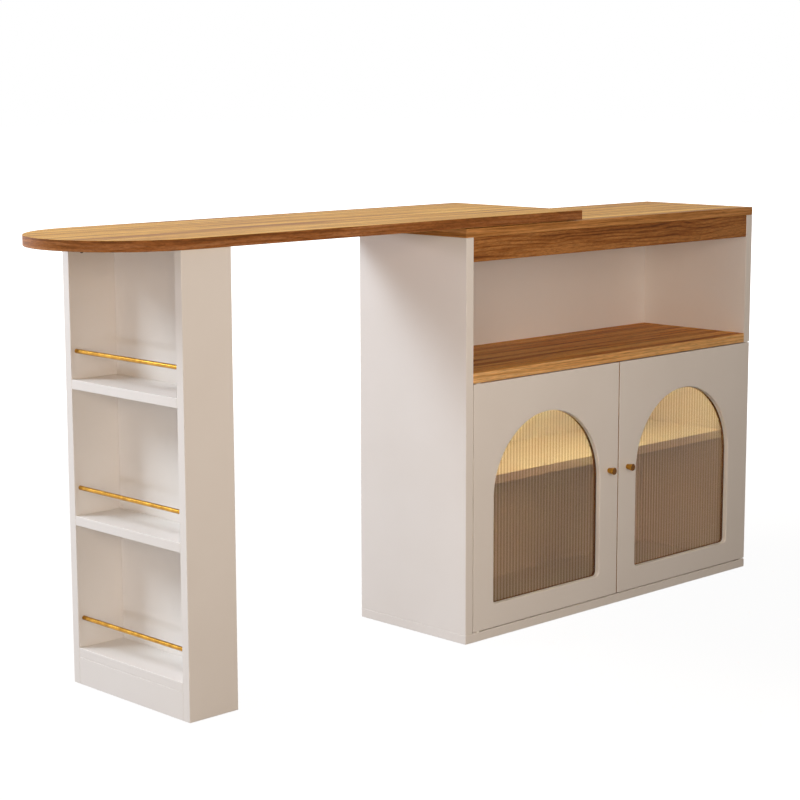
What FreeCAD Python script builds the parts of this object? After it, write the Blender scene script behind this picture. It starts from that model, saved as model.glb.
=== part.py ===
"""Swivelling bar counter: a glazed cabinet, and a table top on a shelved column that turns over it.

Frame: X to the right along the cabinet's front, Y to the back, Z up from the floor, in millimetres.
Places are worked out from the cabinet's left front bottom corner (the "bench" frame) and then moved
so that the origin is under the middle of the whole counter, on the floor.
"""
import FreeCAD, Part
import math
import os
import re
import Sketcher

os.makedirs("parts", exist_ok=True)
doc = FreeCAD.newDocument("BarCounter")

# ---------------------------------------------------------------- driving sizes

SIZES = (
    # cabinet carcase
    ("cabinet_width", 1000, "outside width of the cabinet"),
    ("cabinet_depth", 327, "front edge to back face"),
    ("counter_height", 896.5, "floor to the fixed counter's surface"),
    ("glide_thickness", 2, "glides under the cabinet, and the gap under the column"),
    ("base_thickness", 20, "base board"),
    ("side_thickness", 22, "cabinet side panels"),
    ("back_thickness", 15, "cabinet back panel"),
    ("counter_thickness", 19, "fixed wooden counter"),
    ("deck_height", 590, "floor to the niche deck's surface"),
    ("deck_thickness", 22, "wooden niche deck"),
    ("apron_height", 52, "wooden rail under the counter"),
    ("apron_thickness", 20, "same rail, front to back"),
    ("apron_setback", 0.8, "rail's face behind the side panels' edges"),
    ("lap_clearance", 1, "right side panel's rebate behind the sweep of the door's corner"),
    ("board_round", 1, "rounding of painted edges"),
    ("wood_round", 1.2, "rounding of wooden edges"),
    # inner shelf
    ("shelf_height", 343, "floor to the inner shelf's surface"),
    ("shelf_thickness", 20, "inner shelf"),
    ("shelf_setback", 65, "inner shelf's front edge behind the cabinet's front"),
    ("shelf_clearance", 1, "gap at each end and behind the inner shelf"),
    ("shelf_pin_radius", 2.5, "shelf pins"),
    ("shelf_pin_reach", 10, "pin under the shelf"),
    ("shelf_pin_depth", 12, "pin in the side panel"),
    ("shelf_pin_front", 100, "front pins behind the cabinet's front"),
    ("shelf_pin_rear", 45, "rear pins in front of the back panel"),
    # doors
    ("door_thickness", 20, "door boards"),
    ("door_side_gap", 2, "door to side panel"),
    ("door_meeting_gap", 3, "between the two doors"),
    ("meeting_offset", 5, "meeting line of the doors right of the cabinet's middle"),
    ("right_reveal", 0.5, "right door's outer edge inside the cabinet's outer face"),
    ("door_base_gap", 2.5, "door to base board"),
    ("door_deck_gap", 2, "door to niche deck"),
    ("left_pivot_inset", 18, "left door's pivots from its outer edge"),
    ("right_pivot_inset", 8.5, "right door's pivots from the cabinet's outer face"),
    ("pivot_setback", 8, "door pivots behind the door's face"),
    ("pin_radius", 3, "door pivot pins"),
    ("pin_depth", 14, "pin in the door"),
    ("pin_engagement", 8, "pin in the bush"),
    ("pin_clearance", 0.08, "radial running clearance of the pins"),
    ("bush_radius", 4.5, "pivot bush barrel"),
    ("bush_depth", 10, "pivot bush in the wood"),
    ("bush_flange_radius", 7, "pivot bush flange"),
    ("bush_flange_clearance", 0.2, "door above the lower flange, below the upper one"),
    # door windows
    ("window_width", 353, "arched opening"),
    ("window_sill", 51.5, "opening above the door's lower edge"),
    ("window_height", 406, "sill to the crown of the arch"),
    ("window_corner", 10, "radius of the lower corners"),
    ("window_round", 2, "rounding of the opening's front edge"),
    ("glass_setback", 11, "glass behind the door's face"),
    ("glass_thickness", 5, "reeded glass"),
    ("glass_lap", 8, "rebate around the opening that holds the glass"),
    ("glass_clearance", 1, "glass to rebate"),
    ("reed_pitch", 10, "width of one reed"),
    ("reed_depth", 1, "groove between two reeds"),
    ("reed_groove", 1.8, "width of that groove"),
    ("reed_margin", 1, "glass left beside the outermost groove"),
    ("bead_clearance", 0.5, "bead to rebate"),
    # knobs
    ("knob_height", 319, "floor to the middle of the knobs"),
    ("knob_length", 17, "door's face to the knob's front"),
    ("knob_base_radius", 6, "knob at the door"),
    ("knob_front_radius", 8.2, "knob at its front"),
    ("knob_chamfer", 0.8, "bevel around the knob's front"),
    ("knob_screw_radius", 2, "knob screw"),
    ("knob_screw_depth", 10, "knob screw in the knob"),
    ("knob_screw_head_radius", 4, "head of the knob screw"),
    ("knob_screw_head", 2.5, "thickness of that head"),
    # catches
    ("catch_width", 46, "magnetic catch along X"),
    ("catch_depth", 14, "magnetic catch along Y"),
    ("catch_height", 15, "magnetic catch"),
    ("catch_offset", 30, "catch from the door's meeting edge"),
    ("catch_gap", 0.5, "catch to strike plate"),
    ("strike_thickness", 1, "strike plate"),
    ("strike_height", 12, "strike plate"),
    # light in the upper bay
    ("light_margin", 50, "light bar from the side panels"),
    ("light_setback", 80, "light bar behind the cabinet's front"),
    ("light_width", 16, "light bar front to back"),
    ("light_depth", 9, "light bar below the deck"),
    ("light_wall", 1.5, "wall of the light bar"),
    # table top and its swivel
    ("table_length", 1287, "square end to the crown of the round end"),
    ("table_width", 390, "table top, and twice the radius of its round end"),
    ("table_thickness", 21, "table top"),
    ("table_overlap", 358, "table top over the cabinet at rest"),
    ("swivel_line", 186, "table's centre line behind the cabinet's front"),
    ("swivel_gap", 2, "table top above the fixed counter"),
    ("swivel_inset", 158, "swivel bolt from the table's square end"),
    ("slide_radius", 75, "slide disc"),
    ("slide_clearance", 0.1, "slide disc to table top"),
    ("bolt_radius", 5, "swivel bolt"),
    ("bolt_clearance", 0.08, "radial clearance in its bush"),
    ("bolt_head_radius", 8.5, "head of the swivel bolt"),
    ("bolt_head", 6.4, "thickness of that head"),
    ("bolt_depth", 14, "swivel bolt in the table's insert"),
    ("insert_radius", 8, "threaded insert"),
    ("insert_length", 15, "threaded insert"),
    ("insert_relief", 1, "hole deeper than the insert"),
    ("sleeve_radius", 8, "bush in the fixed counter"),
    ("sleeve_flange_radius", 14, "its flange"),
    ("sleeve_flange", 3, "thickness of that flange"),
    ("washer_radius", 15, "washer above the bolt's head"),
    ("washer_thickness", 2.5, "same washer"),
    ("washer_clearance", 0.3, "washer's hole around the bolt"),
    # column
    ("column_reach", 992, "table's square end to the column's back"),
    ("column_depth", 118.5, "column's back to its open face"),
    ("column_width", 375, "column across the table"),
    ("column_side_thickness", 20, "column side panels"),
    ("column_back_thickness", 9, "column back panel"),
    ("board_thickness", 19, "column boards"),
    ("lower_board_height", 77, "floor to the bottom board's surface"),
    ("middle_board_height", 348, "floor to the middle board's surface"),
    ("upper_board_height", 622.5, "floor to the upper board's surface"),
    ("kick_thickness", 16, "kick board"),
    ("rail_radius", 4.5, "guard rails"),
    ("rail_setback", 13.5, "guard rails behind the column's open face"),
    ("rail_rise", 55.5, "upper guard rails above their boards"),
    ("lower_rail_rise", 60, "lowest guard rail above the bottom board"),
    ("rail_depth", 6, "guard rail in the side panel"),
    ("rail_clearance", 0.1, "rail to its hole"),
    # table fittings
    ("cam_radius", 5, "cam nuts"),
    ("cam_depth", 12, "cam nuts in the side panels"),
    ("cam_drop", 24, "cam nuts below the table top"),
    ("cam_inset", 32.5, "cam nuts from the column's faces"),
    ("cam_slot_width", 1.6, "driver slot"),
    ("cam_slot_depth", 1.5, "driver slot"),
    ("cam_bolt_radius", 2.5, "bolts between table and cams"),
    ("cam_bolt_depth", 11, "those bolts in the table"),
    # dowels and screws
    ("dowel_radius", 4, "beech dowels"),
    ("dowel_length", 30, "beech dowels"),
    ("dowel_side_depth", 12, "dowel in a panel's face"),
    ("dowel_inset", 60, "cabinet dowels from the front and the back"),
    ("board_dowel_inset", 34, "column dowels from a board's front and back edges"),
    ("screw_radius", 2.5, "base screws"),
    ("screw_length", 50, "base screws"),
    ("screw_head_radius", 5, "base screws"),
    ("screw_head", 4, "base screws"),
    ("panel_screw_radius", 2, "back panel screws"),
    ("panel_screw_length", 38, "cabinet back screws"),
    ("column_screw_length", 30, "column back screws"),
    ("panel_screw_head_radius", 3.8, "back panel screws"),
    ("panel_screw_head", 3, "back panel screws"),
    ("screw_margin", 200, "outer back screws from the cabinet's sides"),
    ("glide_radius", 15, "glides"),
    ("glide_margin", 40, "glides from the cabinet's edges"),
    # rollers
    ("roller_radius", 24, "rollers under the column"),
    ("roller_width", 20, "rollers"),
    ("roller_round", 2, "rounding of the tread"),
    ("roller_spacing", 180, "distance between the two rollers"),
    ("roller_side_gap", 1, "roller to bracket cheek"),
    ("axle_radius", 4, "roller axles"),
    ("axle_clearance", 0.08, "radial running clearance of the rollers"),
    ("axle_end", 2, "axle beyond the bracket's cheeks"),
    ("bracket_wall", 2.5, "folded steel bracket"),
    ("bracket_width", 36, "bracket along the direction of rolling"),
    ("bracket_flange", 14, "bracket flange that is screwed up"),
    ("bracket_drop", 8, "bracket cheek below the axle's middle"),
    ("bracket_screw_radius", 2, "bracket screws"),
    ("bracket_screw_length", 14, "bracket screws"),
    ("bracket_screw_head_radius", 3.6, "bracket screws"),
    ("bracket_screw_head", 2, "bracket screws"),
    ("bracket_screw_inset", 7, "bracket screws from the bracket's edges"),
)

sheet = doc.addObject("Spreadsheet::Sheet", "Sizes")
for row, (alias, value, note) in enumerate(SIZES, start=1):
    sheet.set(f"A{row}", alias)
    sheet.set(f"B{row}", str(value))
    sheet.setAlias(f"B{row}", alias)
    sheet.set(f"C{row}", note)
doc.recompute()

# ---------------------------------------------------------------- derived places, as expressions

BASE_TOP = "(glide_thickness + base_thickness)"
COUNTER_UNDER = "(counter_height - counter_thickness)"
SIDE_HEIGHT = f"({COUNTER_UNDER} - {BASE_TOP})"
INNER_WIDTH = "(cabinet_width - 2 * side_thickness)"
RIGHT_INNER = "(cabinet_width - side_thickness)"
BACK_FACE = "(cabinet_depth - back_thickness)"
DECK_UNDER = "(deck_height - deck_thickness)"
DECK_MIDDLE = "(deck_height - deck_thickness / 2)"
SHELF_UNDER = "(shelf_height - shelf_thickness)"
PIN_LEVEL = f"({SHELF_UNDER} - shelf_pin_radius)"
DOWEL_END_DEPTH = "(dowel_length - dowel_side_depth)"

DOOR_BOTTOM = f"({BASE_TOP} + door_base_gap)"
DOOR_TOP = f"({DECK_UNDER} - door_deck_gap)"
DOOR_HEIGHT = f"({DOOR_TOP} - {DOOR_BOTTOM})"
LEFT_DOOR_START = "(side_thickness + door_side_gap)"
RIGHT_DOOR_START = "(cabinet_width / 2 + meeting_offset + door_meeting_gap / 2)"
LEFT_DOOR_WIDTH = f"({RIGHT_DOOR_START} - door_meeting_gap - {LEFT_DOOR_START})"
RIGHT_DOOR_WIDTH = f"(cabinet_width - right_reveal - {RIGHT_DOOR_START})"
WINDOW_MIDDLE = f"({LEFT_DOOR_WIDTH} / 2)"
LEFT_PIVOT = f"({LEFT_DOOR_START} + left_pivot_inset)"
RIGHT_PIVOT = "(cabinet_width - right_pivot_inset)"

TABLE_CROWN = "(table_overlap - table_length)"
TABLE_UNDER = "(counter_height + swivel_gap)"
TABLE_FRONT = "(swivel_line - table_width / 2)"
SWIVEL_X = "(table_overlap - swivel_inset)"

COLUMN_BACK = "(table_overlap - column_reach)"
COLUMN_FACE = f"({COLUMN_BACK} - column_depth)"
COLUMN_FRONT = "(swivel_line - column_width / 2)"
COLUMN_INNER_FRONT = f"({COLUMN_FRONT} + column_side_thickness)"
COLUMN_INNER_WIDTH = "(column_width - 2 * column_side_thickness)"
COLUMN_HEIGHT = f"({TABLE_UNDER} - glide_thickness)"
BOARD_DEPTH = "(column_depth - column_back_thickness)"
LOWER_BOARD_UNDER = "(lower_board_height - board_thickness)"
ROLLER_X = f"({COLUMN_FACE} + (kick_thickness + {BOARD_DEPTH}) / 2)"
BRACKET_HALF = "(roller_width / 2 + roller_side_gap + bracket_wall)"

ORIGIN_X = f"((cabinet_width + {TABLE_CROWN}) / 2)"
ORIGIN_Y = "((swivel_line + table_width / 2 - knob_length) / 2)"

ALIASES = sorted((entry[0] for entry in SIZES), key=len, reverse=True)
ALIAS_WORDS = re.compile(r"(?<![\w.])(" + "|".join(ALIASES) + r")(?!\w)")


def sized(expression):
    """Turn plain alias names in an expression into references to the sheet."""
    return ALIAS_WORDS.sub(r"Sizes.\1", str(expression))


def worth(expression):
    """The expression's value now, for the first guess of a sketch."""
    return float(sheet.evalExpression(sized(expression)))


def bind(thing, **properties):
    """Bind properties of a document object to expressions."""
    for name, expression in properties.items():
        thing.setExpression(name, sized(expression))
    return thing


UPRIGHT = FreeCAD.Rotation()
ALONG = {
    "+Z": UPRIGHT,
    "-Z": FreeCAD.Rotation(FreeCAD.Vector(1, 0, 0), 180),
    "+X": FreeCAD.Rotation(FreeCAD.Vector(0, 1, 0), 90),
    "-X": FreeCAD.Rotation(FreeCAD.Vector(0, 1, 0), -90),
    "+Y": FreeCAD.Rotation(FreeCAD.Vector(1, 0, 0), -90),
    "-Y": FreeCAD.Rotation(FreeCAD.Vector(1, 0, 0), 90),
}


def place(thing, at, rotation=UPRIGHT):
    """Put an object at a place of the bench frame, given as three expressions."""
    x, y, z = at
    thing.Placement = FreeCAD.Placement(FreeCAD.Vector(), rotation)
    thing.setExpression("Placement.Base.x", sized(f"{x} - {ORIGIN_X}"))
    thing.setExpression("Placement.Base.y", sized(f"{y} - {ORIGIN_Y}"))
    thing.setExpression("Placement.Base.z", sized(z))
    return thing


subparts = []
pockets = []


def keep(thing, label):
    """Name a finished sub-part, which is then written out."""
    thing.Label = label
    subparts.append(thing)
    return thing


# ---------------------------------------------------------------- bodies and sketches

def new_body(name, at):
    """A PartDesign body whose own origin is at a place of the bench frame."""
    body = doc.addObject("PartDesign::Body", name)
    return place(body, at)


def sketch_on(body, plane, offset="0"):
    """A sketch on one of the body's own planes, moved along that plane's normal."""
    role = next(item for item in body.Origin.OriginFeatures if item.Role == plane + "_Plane")
    sketch = body.newObject("Sketcher::SketchObject", "Sketch")
    sketch.AttachmentSupport = [(role, "")]
    sketch.MapMode = "FlatFace"
    sketch.setExpression("AttachmentOffset.Base.z", sized(offset))
    return sketch


def constrain(sketch, kind, *spec):
    """Add a constraint whose last item is an expression for its value."""
    *references, expression = spec
    index = sketch.addConstraint(Sketcher.Constraint(kind, *references, worth(expression)))
    sketch.setExpression(f"Constraints[{index}]", sized(expression))


def pin_point(sketch, geometry, point, x, y):
    """Hold one point of a sketch at two expressions, or on an axis where one is plain 0."""
    if str(x) == "0":
        sketch.addConstraint(Sketcher.Constraint("PointOnObject", geometry, point, -2))
    else:
        constrain(sketch, "DistanceX", -1, 1, geometry, point, x)
    if str(y) == "0":
        sketch.addConstraint(Sketcher.Constraint("PointOnObject", geometry, point, -1))
    else:
        constrain(sketch, "DistanceY", -1, 1, geometry, point, y)


def polygon(sketch, points):
    """A closed outline of straight lines through points given as expressions."""
    places = [FreeCAD.Vector(worth(x), worth(y), 0) for x, y in points]
    count = len(places)
    first = sketch.GeometryCount
    for i in range(count):
        sketch.addGeometry(Part.LineSegment(places[i], places[(i + 1) % count]))
    for i in range(count):
        after = first + (i + 1) % count
        sketch.addConstraint(Sketcher.Constraint("Coincident", first + i, 2, after, 1))
    for i, (x, y) in enumerate(points):
        pin_point(sketch, first + i, 1, x, y)


def rectangle(sketch, width, height, left="0", bottom="0"):
    """A rectangle from its lower left corner."""
    right = width if left == "0" else f"{left} + {width}"
    top = height if bottom == "0" else f"{bottom} + {height}"
    polygon(sketch, [(left, bottom), (right, bottom), (right, top), (left, top)])


def circle(sketch, x, y, radius):
    """A circle about a point given as expressions."""
    centre = FreeCAD.Vector(worth(x), worth(y), 0)
    index = sketch.addGeometry(Part.Circle(centre, FreeCAD.Vector(0, 0, 1), worth(radius)))
    pin_point(sketch, index, 3, x, y)
    constrain(sketch, "Radius", index, radius)


def arch(sketch, middle, sill, grow="0"):
    """An upright opening with a half-round head and rounded lower corners.

    middle is its centre line, sill its lower edge, and grow moves the whole outline outwards.
    """
    half = f"(window_width / 2 + {grow})"
    corner = f"(window_corner + {grow})"
    floor = f"({sill} - {grow})"
    spring = f"({sill} + window_height - window_width / 2)"
    xm, r, c = worth(middle), worth(half), worth(corner)
    low, high = worth(floor), worth(spring)
    up = FreeCAD.Vector(0, 0, 1)
    right_angle = math.pi / 2

    def point(x, y):
        return FreeCAD.Vector(x, y, 0)

    def arc(x, y, radius, start, end):
        return Part.ArcOfCircle(Part.Circle(point(x, y), up, radius), start, end)

    outline = [
        Part.LineSegment(point(xm - r + c, low), point(xm + r - c, low)),
        arc(xm + r - c, low + c, c, -right_angle, 0),
        Part.LineSegment(point(xm + r, low + c), point(xm + r, high)),
        arc(xm, high, r, 0, 2 * right_angle),
        Part.LineSegment(point(xm - r, high), point(xm - r, low + c)),
        arc(xm - r + c, low + c, c, 2 * right_angle, 3 * right_angle),
    ]
    base = sketch.GeometryCount
    for piece in outline:
        sketch.addGeometry(piece)
    count = len(outline)
    for i in range(count):
        after = base + (i + 1) % count
        sketch.addConstraint(Sketcher.Constraint("Tangent", base + i, 2, after, 1))
    sketch.addConstraint(Sketcher.Constraint("Horizontal", base))
    sketch.addConstraint(Sketcher.Constraint("Vertical", base + 2))
    sketch.addConstraint(Sketcher.Constraint("Vertical", base + 4))
    sketch.addConstraint(Sketcher.Constraint("Equal", base + 1, base + 5))
    constrain(sketch, "Radius", base + 1, corner)
    constrain(sketch, "Radius", base + 3, half)
    constrain(sketch, "DistanceX", -1, 1, base + 3, 3, middle)
    constrain(sketch, "DistanceY", -1, 1, base, 1, floor)
    constrain(sketch, "DistanceY", -1, 1, base + 3, 3, spring)


def pad(body, sketch, length, reverse=False):
    """Raise a sketch into a solid."""
    feature = body.newObject("PartDesign::Pad", "Pad")
    feature.Profile = sketch
    feature.Reversed = reverse
    bind(feature, Length=length)
    sketch.Visibility = False
    return feature


def pocket(body, sketch, depth, reverse=False):
    """Cut a sketch into the body; the last check sees that it removed something."""
    feature = body.newObject("PartDesign::Pocket", "Pocket")
    feature.Profile = sketch
    feature.Reversed = reverse
    bind(feature, Length=depth)
    pockets.append(feature)
    return feature


def round_edges(body, radius, wanted=None):
    """Round the edges of the body so far, or those that the wanted test picks."""
    tip = body.Tip
    tip.recompute(True)
    names = []
    for index, edge in enumerate(tip.Shape.Edges, start=1):
        if wanted is None or wanted(edge):
            names.append(f"Edge{index}")
    feature = body.newObject("PartDesign::Fillet", "Round")
    feature.Base = (tip, names)
    bind(feature, Radius=radius)
    return feature


# The six ways to drill into a board from outside: plane, offset along its normal, reversed or not.
DRILL_FROM = {
    "below": ("XY", "0", True),
    "above": ("XY", "{size[2]}", False),
    "left": ("YZ", "0", True),
    "right": ("YZ", "{size[0]}", False),
    "front": ("XZ", "0", False),
    "behind": ("XZ", "-({size[1]})", True),
}


def drill(body, face, radius, depth, spots):
    """Drill round holes into one face; spots are pairs of expressions along the face's axes."""
    plane, offset, reverse = DRILL_FROM[face]
    sketch = sketch_on(body, plane, offset.format(size=board_sizes[body.Name]))
    for x, y in spots:
        circle(sketch, x, y, radius)
    return pocket(body, sketch, depth, reverse)


board_sizes = {}


def board(label, at, size, rounding="board_round"):
    """A rectangular board from its left front bottom corner, with its edges eased."""
    body = new_body(label, at)
    board_sizes[body.Name] = size
    sketch = sketch_on(body, "XY")
    rectangle(sketch, size[0], size[1])
    pad(body, sketch, size[2])
    round_edges(body, rounding)
    return keep(body, label)


# ---------------------------------------------------------------- round stock and groups

def rod(name, radius, length, at, direction):
    """A cylinder from a place of the bench frame along one of its axes."""
    stock = doc.addObject("Part::Cylinder", name)
    bind(stock, Radius=radius, Height=length)
    return place(stock, at, ALONG[direction])


def block(name, at, size):
    """A plain block from its left front bottom corner."""
    stock = doc.addObject("Part::Box", name)
    bind(stock, Length=size[0], Width=size[1], Height=size[2])
    return place(stock, at)


def fuse(name, pieces):
    """One object of several pieces; pieces that don't touch stay separate solids."""
    joined = doc.addObject("Part::MultiFuse", name)
    joined.Shapes = pieces
    return joined


def cut(name, base, tool):
    """One object with another cut out of it."""
    result = doc.addObject("Part::Cut", name)
    result.Base = base
    result.Tool = tool
    return result


def group(label, pieces):
    """Like pieces that stay apart, kept as one node."""
    gathered = doc.addObject("Part::Compound", label)
    gathered.Links = pieces
    return keep(gathered, label)


def shift(place_, direction, distance):
    """A place moved along an axis by an expression."""
    axis = "XYZ".index(direction[1])
    moved = list(place_)
    moved[axis] = f"({moved[axis]} {direction[0]} ({distance}))"
    return tuple(moved)


def screw(name, at, direction, radius, length, head_radius, head):
    """A screw with a cylinder head whose outer face is at the place given."""
    shank_start = shift(at, direction, head)
    return [
        rod(name + "_head", head_radius, head, at, direction),
        rod(name + "_shank", radius, f"{length} - {head}", shank_start, direction),
    ]


def screws(label, places, direction, radius, length, head_radius, head):
    """A set of equal screws in one node."""
    pieces = []
    for number, at in enumerate(places, start=1):
        pieces += screw(f"{label}_{number}", at, direction, radius, length, head_radius, head)
    return keep(fuse(label, pieces), label)


# ---------------------------------------------------------------- cabinet carcase

DOWEL_ROWS = ("dowel_inset", "cabinet_depth - dowel_inset")
DECK_ROWS = ("dowel_inset", f"{BACK_FACE} - dowel_inset")
SIDE_MIDDLES = ("side_thickness / 2", "cabinet_width - side_thickness / 2")
BACK_MIDDLE = f"({BACK_FACE} + back_thickness / 2)"
BACK_SCREW_X = ("screw_margin", "cabinet_width / 2", "cabinet_width - screw_margin")
APRON_MIDDLE = "(apron_setback + apron_thickness / 2)"
APRON_LEVEL = f"({COUNTER_UNDER} - apron_height / 2)"
PIN_ROWS = ("shelf_pin_front", f"{BACK_FACE} - shelf_pin_rear")

base_spots = [(x, y) for x in SIDE_MIDDLES for y in DOWEL_ROWS]
base_spots += [(x, BACK_MIDDLE) for x in BACK_SCREW_X]

base = board("base_board", ("0", "0", "glide_thickness"),
             ("cabinet_width", "cabinet_depth", "base_thickness"))
drill(base, "below", "screw_radius", "base_thickness", base_spots)
drill(base, "below", "screw_head_radius", "screw_head", base_spots)
drill(base, "above", "bush_radius", "bush_depth",
      [(LEFT_PIVOT, "pivot_setback"), (RIGHT_PIVOT, "pivot_setback")])


def side_panel(label, start, inner_face):
    """A cabinet side panel, bored for the shelf pins, dowels and base screws."""
    panel = board(label, (start, "0", BASE_TOP), ("side_thickness", "cabinet_depth", SIDE_HEIGHT))
    middle = "side_thickness / 2"
    screw_depth = "screw_length - base_thickness"
    drill(panel, "below", "screw_radius", screw_depth, [(middle, y) for y in DOWEL_ROWS])
    drill(panel, "above", "dowel_radius", DOWEL_END_DEPTH,
          [(middle, y) for y in DOWEL_ROWS])
    dowel_spots = [(y, f"{DECK_MIDDLE} - {BASE_TOP}") for y in DECK_ROWS]
    dowel_spots.append((APRON_MIDDLE, f"{APRON_LEVEL} - {BASE_TOP}"))
    drill(panel, inner_face, "dowel_radius", "dowel_side_depth", dowel_spots)
    drill(panel, inner_face, "shelf_pin_radius", "shelf_pin_depth",
          [(y, f"{PIN_LEVEL} - {BASE_TOP}") for y in PIN_ROWS])
    return panel


side_panel("left_side", "0", "right")
right_side = side_panel("right_side", RIGHT_INNER, "left")

# The right door closes over this panel, in a rebate below the niche deck that is deep enough for
# the door's rear corner to swing in. The upper pivot's bush is let into the rebate's shoulder.
CORNER_SWEEP = "sqrt((right_pivot_inset - right_reveal) ^ 2 + (door_thickness - pivot_setback) ^ 2)"
lap = sketch_on(right_side, "XY")
rectangle(lap, "side_thickness", f"pivot_setback + {CORNER_SWEEP} + lap_clearance")
pocket(right_side, lap, f"{DECK_UNDER} - {BASE_TOP}", True)
bush_bore = sketch_on(right_side, "XY", f"{DECK_UNDER} - {BASE_TOP}")
circle(bush_bore, "side_thickness - right_pivot_inset", "pivot_setback", "bush_radius")
pocket(right_side, bush_bore, "bush_depth", True)

back = board("back_panel", ("side_thickness", BACK_FACE, BASE_TOP),
             (INNER_WIDTH, "back_thickness", SIDE_HEIGHT))
drill(back, "below", "screw_radius", "screw_length - base_thickness",
      [(f"{x} - side_thickness", "back_thickness / 2") for x in BACK_SCREW_X])
deck_screw_spots = [(f"{x} - side_thickness", f"{DECK_MIDDLE} - {BASE_TOP}") for x in BACK_SCREW_X]
drill(back, "behind", "panel_screw_radius", "back_thickness", deck_screw_spots)
drill(back, "behind", "panel_screw_head_radius", "panel_screw_head", deck_screw_spots)

deck = board("niche_deck", ("side_thickness", "0", DECK_UNDER),
             (INNER_WIDTH, BACK_FACE, "deck_thickness"), "wood_round")
for end in ("left", "right"):
    drill(deck, end, "dowel_radius", DOWEL_END_DEPTH,
          [(y, "deck_thickness / 2") for y in DECK_ROWS])
drill(deck, "behind", "panel_screw_radius", "panel_screw_length - back_thickness",
      [(f"{x} - side_thickness", "deck_thickness / 2") for x in BACK_SCREW_X])
drill(deck, "below", "bush_radius", "bush_depth",
      [(f"{LEFT_PIVOT} - side_thickness", "pivot_setback")])

counter = board("counter_top", ("0", "0", COUNTER_UNDER),
                ("cabinet_width", "cabinet_depth", "counter_thickness"), "wood_round")
drill(counter, "below", "dowel_radius", "dowel_side_depth",
      [(x, y) for x in SIDE_MIDDLES for y in DOWEL_ROWS])
drill(counter, "below", "sleeve_radius", "counter_thickness", [(SWIVEL_X, "swivel_line")])

apron = board("front_apron", ("side_thickness", "apron_setback", f"{COUNTER_UNDER} - apron_height"),
              (INNER_WIDTH, "apron_thickness", "apron_height"), "wood_round")
for end in ("left", "right"):
    drill(apron, end, "dowel_radius", DOWEL_END_DEPTH,
          [("apron_thickness / 2", "apron_height / 2")])

board("inner_shelf", ("side_thickness + shelf_clearance", "shelf_setback", SHELF_UNDER),
      (f"{INNER_WIDTH} - 2 * shelf_clearance", f"{BACK_FACE} - shelf_clearance - shelf_setback",
       "shelf_thickness"))

# Shelf pins: pushed into the side panels, the shelf lies on them.
pins = []
for number, y in enumerate(PIN_ROWS, start=1):
    pin_length = "shelf_pin_depth + shelf_pin_reach"
    left_start = ("side_thickness - shelf_pin_depth", y, PIN_LEVEL)
    right_start = (f"{RIGHT_INNER} + shelf_pin_depth", y, PIN_LEVEL)
    pins.append(rod(f"pin_left_{number}", "shelf_pin_radius", pin_length, left_start, "+X"))
    pins.append(rod(f"pin_right_{number}", "shelf_pin_radius", pin_length, right_start, "-X"))
group("shelf_pins", pins)

# Dowels between the sides and the counter, the deck and the apron.
dowels = []
for x in SIDE_MIDDLES:
    for y in DOWEL_ROWS:
        start = (x, y, f"{COUNTER_UNDER} - {DOWEL_END_DEPTH}")
        dowels.append(rod("top_dowel", "dowel_radius", "dowel_length", start, "+Z"))
rows = [(y, DECK_MIDDLE) for y in DECK_ROWS] + [(APRON_MIDDLE, APRON_LEVEL)]
for y, z in rows:
    left_start = ("side_thickness - dowel_side_depth", y, z)
    right_start = (f"{RIGHT_INNER} + dowel_side_depth", y, z)
    dowels.append(rod("left_dowel", "dowel_radius", "dowel_length", left_start, "+X"))
    dowels.append(rod("right_dowel", "dowel_radius", "dowel_length", right_start, "-X"))
group("panel_dowels", dowels)

screws("base_screws", [(x, y, "glide_thickness") for x, y in base_spots], "+Z",
       "screw_radius", "screw_length", "screw_head_radius", "screw_head")
screws("back_screws", [(x, "cabinet_depth", DECK_MIDDLE) for x in BACK_SCREW_X], "-Y",
       "panel_screw_radius", "panel_screw_length", "panel_screw_head_radius", "panel_screw_head")

glides = []
for x in ("glide_margin", "cabinet_width / 2", "cabinet_width - glide_margin"):
    for y in ("glide_margin", "cabinet_depth - glide_margin"):
        glides.append(rod("glide", "glide_radius", "glide_thickness", (x, y, "0"), "+Z"))
group("cabinet_glides", glides)

# ---------------------------------------------------------------- light bar in the upper bay

LIGHT_LENGTH = f"({INNER_WIDTH} - 2 * light_margin)"
LIGHT_START = "(side_thickness + light_margin)"
LIGHT_UNDER = f"({DECK_UNDER} - light_depth)"

light_bar = cut(
    "light_bar",
    block("light_stock", (LIGHT_START, "light_setback", LIGHT_UNDER),
          (LIGHT_LENGTH, "light_width", "light_depth")),
    block("light_channel", (f"{LIGHT_START} + light_wall", "light_setback + light_wall", LIGHT_UNDER),
          (f"{LIGHT_LENGTH} - 2 * light_wall", "light_width - 2 * light_wall",
           "light_depth - light_wall")))
keep(light_bar, "light_bar")
keep(block("light_diffuser",
           (f"{LIGHT_START} + light_wall", "light_setback + light_wall", LIGHT_UNDER),
           (f"{LIGHT_LENGTH} - 2 * light_wall", "light_width - 2 * light_wall", "light_wall")),
     "light_diffuser")

# ---------------------------------------------------------------- door pivots and catches

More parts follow.
